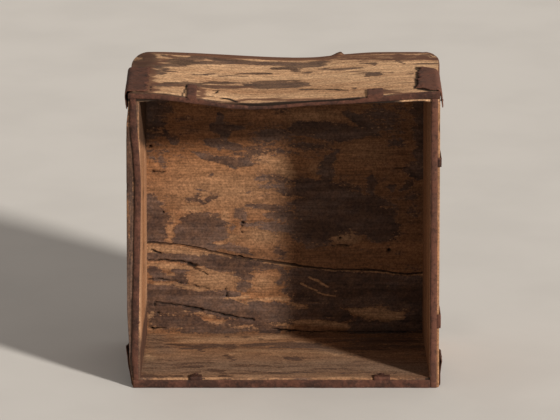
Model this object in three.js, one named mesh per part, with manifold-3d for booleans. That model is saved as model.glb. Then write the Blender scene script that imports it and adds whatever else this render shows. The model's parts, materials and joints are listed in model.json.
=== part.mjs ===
// Grain measure: a square nailed wooden box with an iron-bound mouth, standing on one of its walls.
// Millimetres. X runs to the right, Y runs from the mouth to the base board, Z runs up.

import * as THREE from 'three';
import { mergeVertices } from 'three/addons/utils/BufferGeometryUtils.js';
import Module from 'manifold-3d';

const wasm = await Module();
wasm.setup();

// Box
const width = 330;
const height = 327.5;
const woodDepth = 163;
const topThickness = 11.5;
const floorThickness = 11.5;
const leftThickness = 12.5;
const rightThickness = 10.5;
const baseThickness = 12;

// Gaps: between pieces that bear on each other, and across the split in the base board
const fit = 0.3;
const splitGap = 1.2;

// How the old box has moved: its foot has spread and its top wall has sagged into the mouth
const footSpread = 2;
const mouthSag = 12;
const rearSag = 6;
const sagReach = 68;
const leftStripBow = 3;

// How far wear has moved the two rear corners of the top
const rearLeftWear = new THREE.Vector3(8, -10, -3);
const rearRightWear = new THREE.Vector3(-4, -5, -2);

// The split in the base board: its height at the left wall, and how far it falls on its way across
const splitLeftHeight = 116;
const splitFall = 36;

// Iron round the mouth
const stripWidth = 7.5;
const stripThickness = 1.5;
const stripInset = 1;
const leftStripInset = 4;

// Lugs of the strips: where they stand along each strip, their widths, and their reach back from the mouth
const lugThickness = 1.2;
const topLeftLugX = -92;
const topRightLugX = 95.5;
const bottomLeftLugX = -94;
const bottomRightLugX = 104;
const upperLugZ = 249;
const lowerLugZ = 74;
const narrowLugWidth = 14;
const lugWidth = 18;
const innerLugReach = 14;
const lugReach = 30;
const longLugReach = 50;

// Iron plates round the corners
const plateThickness = 1.2;
const plateSetback = 3;
const plateDepth = 96;
const plateFaceLeg = 26;
const upperPlateSideLeg = 21;
const lowerPlateSideLeg = 42;
const plateLift = 2;

// Nails
const smallNail = { headRadius: 2.4, headHeight: 1, shankRadius: 0.9, length: 8.5 };
const longNail = { headRadius: 2.8, headHeight: 1.2, shankRadius: 1.2, length: 26 };
const nailSides = 6;
const nailTip = 3;
const nailHeadEdge = 0.4;

// Where the nails stand, as shares of the depth, width or height of what they hold
const jointNailBacks = [0.21, 0.4, 0.88];
const baseNailAcross = [-0.32, 0, 0.32];
const baseNailUpLeft = [0.18, 0.73];
const baseNailUpRight = [0.14, 0.7];
const plateSideBacks = [0.23, 0.81];
const plateFaceBacks = [0.21, 0.56, 0.92];
const plateFaceShare = 0.72;
const lugNailShare = 0.65;

// How finely a piece that follows the sag or the split is divided along its length
const stationsAcross = 24;

// Where the edges of the wood lie
const halfWidth = width / 2;
const rearY = (woodDepth + fit + stripThickness) / 2;
const mouthY = rearY - woodDepth;
const stripY = mouthY - fit - stripThickness;
const innerLeft = -halfWidth + leftThickness;
const innerRight = halfWidth - rightThickness;
const innerTop = height - topThickness;

// Sag of the top wall at eleven even stations from left to right, as shares of the greatest sag
const mouthSagCurve = evenCurve([0, 0.1, 0.47, 0.82, 0.98, 0.83, 0.69, 0.53, 0.32, 0.09, 0]);
const rearSagCurve = evenCurve([0, 0, 0.2, 0.5, 0.8, 1, 0.97, 0.42, 0.05, 0, 0]);

// The split in the base board at thirteen even stations, as shares of its whole fall
const splitCurve = evenCurve([0, 0.04, 0.14, 0.3, 0.47, 0.58, 0.67, 0.78, 0.85, 0.87, 0.89, 1, 0.97]);

const wood = new THREE.MeshStandardMaterial({ color: 0x9a6d45, roughness: 0.8, metalness: 0 });
const iron = new THREE.MeshStandardMaterial({ color: 0x543a33, roughness: 0.7, metalness: 0.6 });

function evenCurve(values) {
  return new THREE.SplineCurve(values.map((value, station) => new THREE.Vector2(station, value)));
}

function curveAt(curve, share) {
  return curve.getPoint(THREE.MathUtils.clamp(share, 0, 1)).y;
}

// Moves a point of the square box to where it lies on the sagged and spread one
function settled(point) {
  const across = (point.x / halfWidth + 1) / 2;
  const back = THREE.MathUtils.clamp((point.y - mouthY) / woodDepth, 0, 1);
  const sag = THREE.MathUtils.lerp(
    mouthSag * curveAt(mouthSagCurve, across),
    rearSag * curveAt(rearSagCurve, across),
    back,
  );
  const share = THREE.MathUtils.clamp((point.z - height + sagReach) / sagReach, 0, 1);
  const spread = 1 + (footSpread / width) * (1 - (2 * point.z) / height);
  return new THREE.Vector3(point.x * spread, point.y, point.z - sag * share);
}

function moved(geometry, move) {
  const position = geometry.attributes.position;
  const point = new THREE.Vector3();
  for (let i = 0; i < position.count; i += 1) {
    const to = move(point.fromBufferAttribute(position, i).clone());
    position.setXYZ(i, to.x, to.y, to.z);
  }
  return geometry;
}

function block(low, high, steps = [1, 1, 1]) {
  const size = high.map((value, axis) => value - low[axis]);
  const middle = high.map((value, axis) => (value + low[axis]) / 2);
  return new THREE.BoxGeometry(...size, ...steps).translate(...middle);
}

function solid(geometry) {
  const bare = geometry.clone();
  bare.deleteAttribute('normal');
  bare.deleteAttribute('uv');
  const merged = mergeVertices(bare, 1e-4);
  return new wasm.Manifold(new wasm.Mesh({
    numProp: 3,
    vertProperties: new Float32Array(merged.attributes.position.array),
    triVerts: new Uint32Array(merged.index.array),
  }));
}

function geometryOf(body) {
  const mesh = body.getMesh();
  const geometry = new THREE.BufferGeometry();
  geometry.setAttribute('position', new THREE.BufferAttribute(mesh.vertProperties, 3));
  geometry.setIndex(new THREE.BufferAttribute(mesh.triVerts, 1));
  return geometry;
}

// A nail stands with its shank down -Y and the underside of its head at y = 0
function nailShape(kind) {
  const profile = [
    new THREE.Vector2(0, -kind.length),
    new THREE.Vector2(kind.shankRadius, nailTip - kind.length),
    new THREE.Vector2(kind.shankRadius, 0),
    new THREE.Vector2(kind.headRadius, 0),
    new THREE.Vector2(kind.headRadius, kind.headHeight * nailHeadEdge),
    new THREE.Vector2(0, kind.headHeight),
  ];
  return new THREE.LatheGeometry(profile, nailSides);
}

function holeShape(kind, sunk) {
  const shank = kind.shankRadius + fit;
  const head = kind.headRadius + fit;
  const top = sunk ? kind.headHeight + fit / 2 : kind.headHeight;
  const profile = [new THREE.Vector2(0, -kind.length - fit), new THREE.Vector2(shank, -kind.length - fit)];
  if (sunk) profile.push(new THREE.Vector2(shank, -fit), new THREE.Vector2(head, -fit));
  profile.push(new THREE.Vector2(sunk ? head : shank, top), new THREE.Vector2(0, top));
  return new THREE.LatheGeometry(profile, nailSides);
}

const holes = [];

// Drives a row of nails. Each seat is where a head bears, or its top where the head is sunk.
function nailRow(seats, outward, kind, sunk) {
  const turn = new THREE.Quaternion().setFromUnitVectors(new THREE.Vector3(0, 1, 0), outward);
  return seats.map((seat) => {
    const at = seat.clone().addScaledVector(outward, sunk ? -kind.headHeight : fit);
    const place = (shape) => shape.applyQuaternion(turn).translate(at.x, at.y, at.z);
    holes.push(place(holeShape(kind, sunk)));
    return place(nailShape(kind));
  });
}

const up = new THREE.Vector3(0, 0, 1);
const down = new THREE.Vector3(0, 0, -1);
const left = new THREE.Vector3(-1, 0, 0);
const right = new THREE.Vector3(1, 0, 0);
const forward = new THREE.Vector3(0, -1, 0);

function pointAt(x, y, z) {
  return settled(new THREE.Vector3(x, y, z));
}

// Walls: the top one laps both side walls, the right one runs to the floor, the lower one carries the left

function wallTop() {
  const steps = [stationsAcross, 6, 1];
  const geometry = block([-halfWidth, mouthY, innerTop], [halfWidth, rearY, height], steps);
  return moved(geometry, (point) => {
    const rearCorner = Math.abs(point.x) > halfWidth - fit && point.y > rearY - fit;
    if (rearCorner && point.z > innerTop + fit) point.add(point.x < 0 ? rearLeftWear : rearRightWear);
    return settled(point);
  });
}

function wallBottom() {
  const high = [innerRight - fit, rearY, floorThickness];
  return moved(block([-halfWidth, mouthY, 0], high, [2, 2, 1]), settled);
}

function wallLeft() {
  const low = [-halfWidth, mouthY, floorThickness + fit];
  return moved(block(low, [innerLeft, rearY, innerTop - fit], [1, 2, 6]), settled);
}

function wallRight() {
  const high = [halfWidth, rearY, innerTop - fit];
  return moved(block([innerRight, mouthY, 0], high, [1, 2, 6]), settled);
}

// Base board: one board that has split from side to side, so it is now two pieces

function splitHeight(x) {
  return splitLeftHeight - splitFall * curveAt(splitCurve, (x - innerLeft) / (innerRight - innerLeft));
}

function basePiece(farEdge, nearSplit) {
  const outline = new THREE.Shape();
  const xAt = (i) => THREE.MathUtils.lerp(innerLeft + fit, innerRight - fit, i / stationsAcross);
  for (let i = 0; i <= stationsAcross; i += 1) {
    outline[i ? 'lineTo' : 'moveTo'](xAt(i), splitHeight(xAt(i)) + nearSplit);
  }
  for (let i = stationsAcross; i >= 0; i -= 1) outline.lineTo(xAt(i), farEdge);
  const geometry = new THREE.ExtrudeGeometry(outline, { depth: baseThickness, bevelEnabled: false });
  geometry.rotateX(Math.PI / 2).translate(0, rearY, 0);
  return moved(geometry, settled);
}

// Rim strips: flat iron on the front edges of the walls, with lugs bent over the faces of the walls

function joined(parts) {
  return parts.map(solid).reduce((body, part) => body.add(part));
}

function lugSpan(lug) {
  return [lug.at - lug.width / 2, lug.at + lug.width / 2];
}

const topLugs = [
  { at: topLeftLugX, width: lugWidth, reach: longLugReach },
  { at: topRightLugX, width: lugWidth, reach: lugReach },
];
const bottomLugs = [
  { at: bottomLeftLugX, width: narrowLugWidth, reach: innerLugReach },
  { at: bottomRightLugX, width: lugWidth, reach: innerLugReach },
];
const rightLugs = [
  { at: upperLugZ, width: narrowLugWidth, reach: lugReach },
  { at: lowerLugZ, width: lugWidth, reach: lugReach },
];

// Where the edges of the strips lie
const stripTopEdge = height - stripInset;
const stripTopLow = stripTopEdge - stripWidth;
const leftStripOuter = -halfWidth + leftStripInset;
const rightStripOuter = halfWidth - stripInset;

function stripTop() {
  const steps = [stationsAcross, 1, 1];
  const outer = height + fit + lugThickness;
  const parts = [block([-halfWidth, stripY, stripTopLow], [halfWidth, mouthY - fit, stripTopEdge], steps)];
  topLugs.forEach((lug) => {
    const [from, to] = lugSpan(lug);
    parts.push(block([from, stripY, stripTopLow + fit], [to, mouthY - fit, outer], [2, 1, 1]));
    parts.push(block([from, stripY, height + fit], [to, mouthY + lug.reach, outer], [2, 3, 1]));
  });
  return joined(parts.map((part) => moved(part, settled)));
}

function stripBottom() {
  const end = rightStripOuter - stripWidth - fit;
  const inner = floorThickness + fit + lugThickness;
  const low = [-halfWidth + stripInset, stripY, 0];
  const parts = [block(low, [end, mouthY - fit, stripWidth], [4, 1, 1])];
  bottomLugs.forEach((lug) => {
    const [from, to] = lugSpan(lug);
    parts.push(block([from, stripY, stripWidth - fit], [to, mouthY - fit, inner]));
    parts.push(block([from, stripY, floorThickness + fit], [to, mouthY + lug.reach, inner]));
  });
  return joined(parts.map((part) => moved(part, settled)));
}

// The left strip has no lugs, and bows away from the edge of its wall
function bowed(point) {
  point.x += leftStripBow * Math.sin((Math.PI * point.z) / height);
  return point;
}

function stripLeft() {
  const low = [leftStripOuter, stripY, stripWidth + fit];
  const high = [leftStripOuter + stripWidth, mouthY - fit, stripTopLow - fit];
  return solid(moved(moved(block(low, high, [1, 1, 12]), bowed), settled));
}

function stripRight() {
  const outer = halfWidth + fit + lugThickness;
  const low = [rightStripOuter - stripWidth, stripY, 0];
  const parts = [block(low, [rightStripOuter, mouthY - fit, stripTopLow - fit], [1, 1, 6])];
  rightLugs.forEach((lug) => {
    const [from, to] = lugSpan(lug);
    parts.push(block([rightStripOuter - fit, stripY, from], [outer, mouthY - fit, to]));
    parts.push(block([halfWidth + fit, stripY, from], [outer, mouthY + lug.reach, to]));
  });
  return joined(parts.map((part) => moved(part, settled)));
}

// Corner plates: each leg is drawn from the corner of the wood, u inwards along the face, v outwards

function platePoints(sideLeg, lifts, offset) {
  const points = lifts.map(([share, lift]) => [-offset - plateLift * lift, -sideLeg * share]);
  return [[plateFaceLeg, offset], [-offset, offset], ...points];
}

function cornerPlate(side, sideLeg, lifts) {
  const inner = platePoints(sideLeg, lifts, fit);
  const outer = platePoints(sideLeg, lifts, fit + plateThickness);
  const outline = new THREE.Shape();
  [...outer, ...inner.reverse()].forEach(([u, v], i) => {
    outline[i ? 'lineTo' : 'moveTo'](side.x * (halfWidth - u), side.z > 0 ? height + v : side.lowest - v);
  });
  const geometry = new THREE.ExtrudeGeometry(outline, { depth: plateDepth, bevelEnabled: false });
  geometry.rotateX(Math.PI / 2).translate(0, mouthY + plateSetback + plateDepth, 0);
  return moved(geometry, settled);
}

// The lower plates are let into the underside, so that the box stands flat on its wood and iron
const letIn = plateThickness + fit;
const topLeftSide = { x: -1, z: 1 };
const topRightSide = { x: 1, z: 1 };
const bottomLeftSide = { x: -1, z: -1, lowest: letIn };
const bottomRightSide = { x: 1, z: -1, lowest: letIn };

// Lift off the wood along each side leg: share of the leg, share of the greatest lift
const topLeftLifts = [[0.3, 0.4], [0.6, 0.6], [1, 0]];
const topRightLifts = [[0.3, 0.1], [0.9, 1], [1, 0.6]];
const bottomLeftLifts = [[0.4, 0.1], [1, 0.6]];
const bottomRightLifts = [[0.35, 0], [0.65, 1], [1, 0]];

function plateRecesses() {
  const rear = mouthY + plateSetback + plateDepth + fit;
  return [-1, 1].map((side) => {
    const ends = [side * (halfWidth - plateFaceLeg - fit), side * (halfWidth + plateLift)];
    const low = [Math.min(...ends), mouthY - plateLift, -plateLift];
    return moved(block(low, [Math.max(...ends), rear, letIn]), settled);
  });
}

function plateSeat(side, sideLeg, lifts, share, y) {
  const after = lifts.findIndex(([at]) => at >= share);
  const [atHigh, liftHigh] = lifts[after];
  const [atLow, liftLow] = after ? lifts[after - 1] : [0, 0];
  const lift = THREE.MathUtils.mapLinear(share, atLow, atHigh, liftLow, liftHigh);
  const z = side.z > 0 ? height - sideLeg * share : side.lowest + sideLeg * share;
  const seat = pointAt(side.x * halfWidth, y, z);
  seat.x += side.x * (fit + plateThickness + plateLift * lift);
  return seat;
}

function plateNails(side, sideLeg, lifts, share) {
  const outward = side.x < 0 ? left : right;
  const yAt = (back) => mouthY + plateSetback + plateDepth * back;
  const sideSeats = plateSideBacks.map((back) => plateSeat(side, sideLeg, lifts, share, yAt(back)));
  const row = nailRow(sideSeats, outward, smallNail, false);
  if (side.z > 0) {
    const x = side.x * (halfWidth - plateFaceLeg * plateFaceShare);
    const faceZ = height + fit + plateThickness;
    const faceSeats = plateFaceBacks.map((back) => pointAt(x, yAt(back), faceZ));
    row.push(...nailRow(faceSeats, up, smallNail, false));
  }
  return row;
}

// Nails through the walls, with their heads sunk flush with the wood

const baseNailY = rearY - baseThickness / 2;

function underside(back) {
  return woodDepth * back < plateSetback + plateDepth ? letIn : 0;
}

function jointNails() {
  const leftX = -halfWidth + leftThickness / 2;
  const rightX = halfWidth - rightThickness / 2;
  const yAt = (back) => mouthY + woodDepth * back;
  const row = (seatOf, outward) => nailRow(jointNailBacks.map(seatOf), outward, longNail, true);
  return {
    top_left: row((back) => pointAt(leftX, yAt(back), height), up),
    top_right: row((back) => pointAt(rightX, yAt(back), height), up),
    bottom_left: row((back) => pointAt(leftX, yAt(back), underside(back)), down),
    bottom_right: row((back) => pointAt(halfWidth, yAt(back), floorThickness / 2), right),
  };
}

function baseNails() {
  const row = (shares, seatOf, outward) => nailRow(shares.map(seatOf), outward, longNail, true);
  return {
    top: row(baseNailAcross, (share) => pointAt(width * share, baseNailY, height), up),
    bottom: row(baseNailAcross, (share) => pointAt(width * share, baseNailY, 0), down),
    left: row(baseNailUpLeft, (share) => pointAt(-halfWidth, baseNailY, height * share), left),
    right: row(baseNailUpRight, (share) => pointAt(halfWidth, baseNailY, height * share), right),
  };
}

function leftStripSeat(z) {
  const middle = new THREE.Vector3(leftStripOuter + stripWidth / 2, stripY, z);
  return settled(bowed(middle));
}

// One nail holds each lug, and two go through the face of the left strip
function rimNails() {
  const lugFace = fit + lugThickness;
  const back = (lug) => mouthY + lug.reach * lugNailShare;
  const row = (places, seatOf, outward) => nailRow(places.map(seatOf), outward, smallNail, false);
  return {
    top: row(topLugs, (lug) => pointAt(lug.at, back(lug), height + lugFace), up),
    bottom: row(bottomLugs, (lug) => pointAt(lug.at, back(lug), floorThickness + lugFace), up),
    left: row([upperLugZ, lowerLugZ], leftStripSeat, forward),
    right: row(rightLugs, (lug) => pointAt(halfWidth + lugFace, back(lug), lug.at), right),
  };
}

const nails = {};

function nameRow(name, row) {
  row.forEach((nail, i) => { nails[`${name}_${i + 1}`] = nail; });
}

Object.entries(jointNails()).forEach(([place, row]) => nameRow(`joint_nail_${place}`, row));
Object.entries(baseNails()).forEach(([place, row]) => nameRow(`base_nail_${place}`, row));
Object.entries(rimNails()).forEach(([place, row]) => nameRow(`rim_nail_${place}`, row));

// Each plate, with the share of its side leg at which its side nails stand
const plates = {
  top_left: { side: topLeftSide, sideLeg: upperPlateSideLeg, lifts: topLeftLifts, nailShare: 0.75 },
  top_right: { side: topRightSide, sideLeg: upperPlateSideLeg, lifts: topRightLifts, nailShare: 0.75 },
  bottom_left: { side: bottomLeftSide, sideLeg: lowerPlateSideLeg, lifts: bottomLeftLifts, nailShare: 0.5 },
  bottom_right: { side: bottomRightSide, sideLeg: lowerPlateSideLeg, lifts: bottomRightLifts, nailShare: 0.6 },
};
const plateShapes = {};
Object.entries(plates).forEach(([place, { side, sideLeg, lifts, nailShare }]) => {
  plateShapes[`corner_plate_${place}`] = cornerPlate(side, sideLeg, lifts);
  nameRow(`plate_nail_${place}`, plateNails(side, sideLeg, lifts, nailShare));
});

const nailHoles = holes.map(solid);
const recesses = plateRecesses().map(solid);

function bored(body, cuts = nailHoles) {
  return cuts.reduce((rest, cut) => rest.subtract(cut), body);
}

const woodBodies = {
  wall_top: solid(wallTop()),
  wall_bottom: bored(solid(wallBottom()), recesses),
  wall_left: solid(wallLeft()),
  wall_right: bored(solid(wallRight()), recesses),
  base_board_upper: solid(basePiece(innerTop - fit, splitGap / 2)),
  base_board_lower: solid(basePiece(floorThickness + fit, -splitGap / 2)),
};

const ironBodies = {
  rim_strip_top: stripTop(),
  rim_strip_bottom: stripBottom(),
  rim_strip_left: stripLeft(),
  rim_strip_right: stripRight(),
};
Object.entries(plateShapes).forEach(([name, shape]) => { ironBodies[name] = solid(shape); });

const group = new THREE.Group();

function addMesh(name, geometry, material) {
  const mesh = new THREE.Mesh(geometry, material.clone());
  mesh.name = name;
  group.add(mesh);
}

Object.entries(woodBodies).forEach(([name, body]) => addMesh(name, geometryOf(bored(body)), wood));
Object.entries(ironBodies).forEach(([name, body]) => addMesh(name, geometryOf(bored(body)), iron));
Object.entries(nails).forEach(([name, geometry]) => addMesh(name, geometry, iron));

// The origin is the middle of the underside of the whole measure
const bounds = new THREE.Box3().setFromObject(group);
const middle = bounds.getCenter(new THREE.Vector3());
group.position.set(-middle.x, -middle.y, -bounds.min.z);

export default group;
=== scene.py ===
"""Dresses a packed grain measure: worn planks, rusted iron round the mouth and corners, forged nails.

Shapes are worked out in millimetres, in the frame of the packed model, and made in metres.
"""

import itertools
import json
import math
from typing import NamedTuple

import bpy
import numpy as np
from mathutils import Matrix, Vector
from mathutils.bvhtree import BVHTree

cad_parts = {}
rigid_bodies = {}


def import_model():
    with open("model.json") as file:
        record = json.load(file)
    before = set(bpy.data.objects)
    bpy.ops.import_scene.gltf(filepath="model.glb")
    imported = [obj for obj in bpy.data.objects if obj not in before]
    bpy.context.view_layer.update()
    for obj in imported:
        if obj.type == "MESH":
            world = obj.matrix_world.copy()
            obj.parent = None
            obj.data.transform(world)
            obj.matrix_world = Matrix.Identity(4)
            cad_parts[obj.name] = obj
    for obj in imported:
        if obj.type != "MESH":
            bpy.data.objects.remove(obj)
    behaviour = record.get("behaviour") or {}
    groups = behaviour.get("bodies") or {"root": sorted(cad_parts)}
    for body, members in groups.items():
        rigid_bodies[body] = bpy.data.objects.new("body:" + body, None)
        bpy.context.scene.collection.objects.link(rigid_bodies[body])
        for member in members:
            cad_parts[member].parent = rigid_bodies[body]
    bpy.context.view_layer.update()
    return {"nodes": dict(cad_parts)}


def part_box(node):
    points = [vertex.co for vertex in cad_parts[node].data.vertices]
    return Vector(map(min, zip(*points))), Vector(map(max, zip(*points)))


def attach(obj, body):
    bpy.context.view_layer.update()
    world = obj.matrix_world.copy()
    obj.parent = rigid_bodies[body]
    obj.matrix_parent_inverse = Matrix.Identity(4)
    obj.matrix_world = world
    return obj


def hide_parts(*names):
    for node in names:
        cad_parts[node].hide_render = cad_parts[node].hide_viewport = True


bl_info = {
    "name": "Grain Measure",
    "version": (1, 0, 0),
    "blender": (4, 5, 0),
    "location": "View3D > Sidebar > Grain Measure",
    "description": "Builds the worn wood, the iron and the nails of a square grain measure",
    "category": "Add Mesh",
}

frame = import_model()

MM = 0.001


def span(node):
    """Lowest and highest corner of a packed node, in millimetres."""
    low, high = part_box(node)
    return np.array(low) / MM, np.array(high) / MM


# The axes by number, and how squarely a surface must look along one to lie on that face of a plank
X, Y, Z = range(3)
FACING = 0.3

# The square box before it sagged and spread, from the packed planks
WIDTH = 330.0
HEIGHT = 327.5
TOP_THICKNESS = 11.5
LEFT_THICKNESS = 12.5
RIGHT_THICKNESS = 10.5
FIT = 0.3
TOP_LOW, TOP_HIGH = span("wall_top")
MIDDLE_X = (TOP_LOW[X] + TOP_HIGH[X]) / 2
MOUTH_Y = TOP_LOW[Y]
REAR_Y = TOP_HIGH[Y]
BOARD_Y = span("base_board_upper")[0][Y]
STRIP_Y = span("rim_strip_top")[0][Y]
FLOOR_THICKNESS = span("wall_bottom")[1][Z]
LEFT_X = MIDDLE_X - WIDTH / 2
RIGHT_X = MIDDLE_X + WIDTH / 2
INNER_TOP = HEIGHT - TOP_THICKNESS
INNER_LEFT = LEFT_X + LEFT_THICKNESS
INNER_RIGHT = RIGHT_X - RIGHT_THICKNESS

# How the box has sagged and spread
FOOT_SPREAD = 2.0
MOUTH_SAG = 12.0
REAR_SAG = 6.0
SAG_REACH = 68.0
REAR_RISE = 2.0
REAR_RISE_FROM = 0.45
MOUTH_SAG_CURVE = (0, 0.1, 0.47, 0.82, 0.98, 0.83, 0.69, 0.53, 0.32, 0.09, 0)
REAR_SAG_CURVE = (0, 0, 0.2, 0.5, 0.8, 1, 0.97, 0.42, 0.05, 0, 0)

# How far the lower left corner is worn, and the left wall bows out, each with the heights where it fades
CORNER_WEAR = 4.2
CORNER_WEAR_REACH = 8.0
CORNER_WEAR_FADE = (-4.0, 34.0)
CORNER_WEAR_LESS_BEHIND = 0.6
LEFT_BULGE = 1.9
LEFT_BULGE_REACH = 6.0
LEFT_BULGE_FOOT = (44.0, 90.0)
LEFT_BULGE_HEAD = (INNER_TOP - 30, INNER_TOP - 4)

# The rounded rear corners: how far they reach across and forwards, and how far the top drops there
LEFT_CORNER = (18.0, 50.0)
RIGHT_CORNER = (14.0, 36.0)
CORNER_DROP = 0.5

# The split in the base board: its height, its course, its gap, and how it bows up through the thickness
SPLIT_LEFT_HEIGHT = 116.0
SPLIT_FALL = 36.0
SPLIT_CURVE = (0, 0.04, 0.14, 0.3, 0.47, 0.58, 0.67, 0.78, 0.85, 0.87, 0.89, 1, 0.97)
SPLIT_GAP_CURVE = (1.8, 2.0, 3.0, 1.5, 3.3, 2.5, 2.4, 1.4, 1.4, 1.6, 1.9, 1.1, 0.8)
SPLIT_GAP_SHARE = 0.4
SPLIT_BULGE = 4.0

# The top wall's mouth edge, flared right end, splinter and seat for the plates
MOUTH_THINNING = 3.6
MOUTH_THINNED = ((INNER_LEFT, INNER_LEFT + 30), (INNER_RIGHT - 10, INNER_RIGHT))
REAR_FLARE = 3.4
SPLINTER_HEIGHT = 3.2
SPLINTER_ACROSS = ((49, 61), (61.5, 65))
PLATE_SEAT = 2.2

# On the top wall: where the right plate's inner and front edges lie, back from the mouth and in from the side
PLATE_EDGE_BACK = (18, 104)
PLATE_EDGE_IN = (25, 20)
# How far the painted shadow reaches beside the plate's inner edge
PLATE_EDGE_SHADOW = 3.5
PLATE_FRONT_IN = (24, 12)
PLATE_FRONT_BACK = (21, 12)
# How far back the painted shadow reaches under the plate's front edge
PLATE_FRONT_SHADOW = 9

# On the top wall: the dark left corner, the painted shadow line above the strip, and the bare ends of the
# mouth edge, each end with how far in it fades and how high it reaches
DARK_CORNER_ACROSS = (-152, -128)
DARK_CORNER_BACK = (10, 26)
SHADOW_LINE_ACROSS = ((-70, -40), (75, 95))
BARE_LEFT_END = (12, 26, 1.6)
BARE_RIGHT_END = (50, 38, 3.2)

# On the left wall's inner face: how high it is dark below and above, and how far the upper edge falls behind
LEFT_DARK_BELOW = (38, 62)
LEFT_DARK_ABOVE = (268, 278)
LEFT_DARK_FALL = 50

# How far the side walls lean in behind, and how far the pieces of wood overlap so that no light shows
WALL_TILT = 2.6
BOARD_SEAT = 2.0
LAP = 0.8

# The strips and the plates
STRIP_WIDTH = 7.2
TOP_STRIP_WIDTH = 6.3
BOTTOM_STRIP_WIDTH = 9.4
RIGHT_STRIP_WIDTH = 7.6
STRIP_INSET = 1.0
LEFT_STRIP_INSET = 4.0
RIGHT_STRIP_INSET = 2.4
LEFT_STRIP_CURVE = (-0.5, -0.9, -0.3, 0.6, 1.2, 1.9, 2.4, 2.7, 1.1, -1.3, -2.2)
STRIP_LAP = 0.6
LUG_THICKNESS = 1.2
LUG_LAP = 1.0
PLATE_THICKNESS = 1.2
PLATE_END = 99.0
PLATE_LIFT = 2.0

# How strong a mark is in its middle, how it fades in half sizes, and how far out it is looked for
MARK_STRENGTH = 1.4
MARK_FADE = 0.9
MARK_MOST = 1.1
MARK_REACH = 1.7

# How far a crack or scratch wanders, how much its width changes, and how deep cracks and holes are
CRACK_REACH = 5.0
CRACK_WANDER = 1.3
CRACK_UNEVENNESS = 1.1
CRACK_NARROWEST = 0.25
CRACK_RIM = 1.15
CRACK_DEPTH = 3.0
TOP_CRACK_DEPTH = 0.3
HOLE_DEPTH = 4.0

# Lines near the arrises of a plank, and the spacing of the rest on level and upright planks and the board
ARRIS_LINES = np.array((0.0, 0.35, 0.9, 1.7, 3.0))
LEVEL_STEPS = (1.6, 1.2, 2.0)
UPRIGHT_STEPS = (2.0, 1.2, 2.0)
BOARD_STEPS = (1.65, 2.5, 0.96)


def close_to(points, reach, across, up):
    """Which places lie in the box round a line of points, with a margin."""
    low = np.min(points, axis=0) - reach
    high = np.max(points, axis=0) + reach
    return (across > low[0]) & (across < high[0]) & (up > low[1]) & (up < high[1])


def along_piece(start, end, x, y):
    """How far along a straight piece of line each place lies, from 0 to 1, and how far off it."""
    run, climb = end[0] - start[0], end[1] - start[1]
    share = np.clip(((x - start[0]) * run + (y - start[1]) * climb) / (run**2 + climb**2), 0, 1)
    return share, np.hypot(x - start[0] - share * run, y - start[1] - share * climb)


class Mark(NamedTuple):
    """A soft long mark: its middle across and back or up, its half sizes, its slope and its depth."""

    across: float
    up: float
    half_length: float
    half_width: float
    slope: float = 0.0
    depth: float = 1.0

    def distance(self, across, up):
        """How far each place lies from the middle, in half sizes."""
        side = (across - self.across) / self.half_length
        off = (up - self.up - self.slope * (across - self.across)) / self.half_width
        return np.hypot(side, off)


class Stroke(NamedTuple):
    """A mark drawn along a line: its points, each across, back or up, and half a width; its depth."""

    points: tuple
    depth: float = 1.0

    def distance(self, across, up):
        """How far each place lies from the line, in half widths."""
        near = close_to(self.points, MARK_REACH * max(point[2] for point in self.points), across, up)
        x, y = across[near], up[near]
        nearest = np.full(len(x), np.inf)
        for start, end in itertools.pairwise(self.points):
            share, off = along_piece(start, end, x, y)
            nearest = np.minimum(nearest, off / (start[2] + (end[2] - start[2]) * share))
        distance = np.full(len(across), np.inf)
        distance[near] = nearest
        return distance


class Crack(NamedTuple):
    """A crack or scratch: its points across and back or up, and its half width."""

    points: tuple
    half_width: float = 1.0


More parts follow.
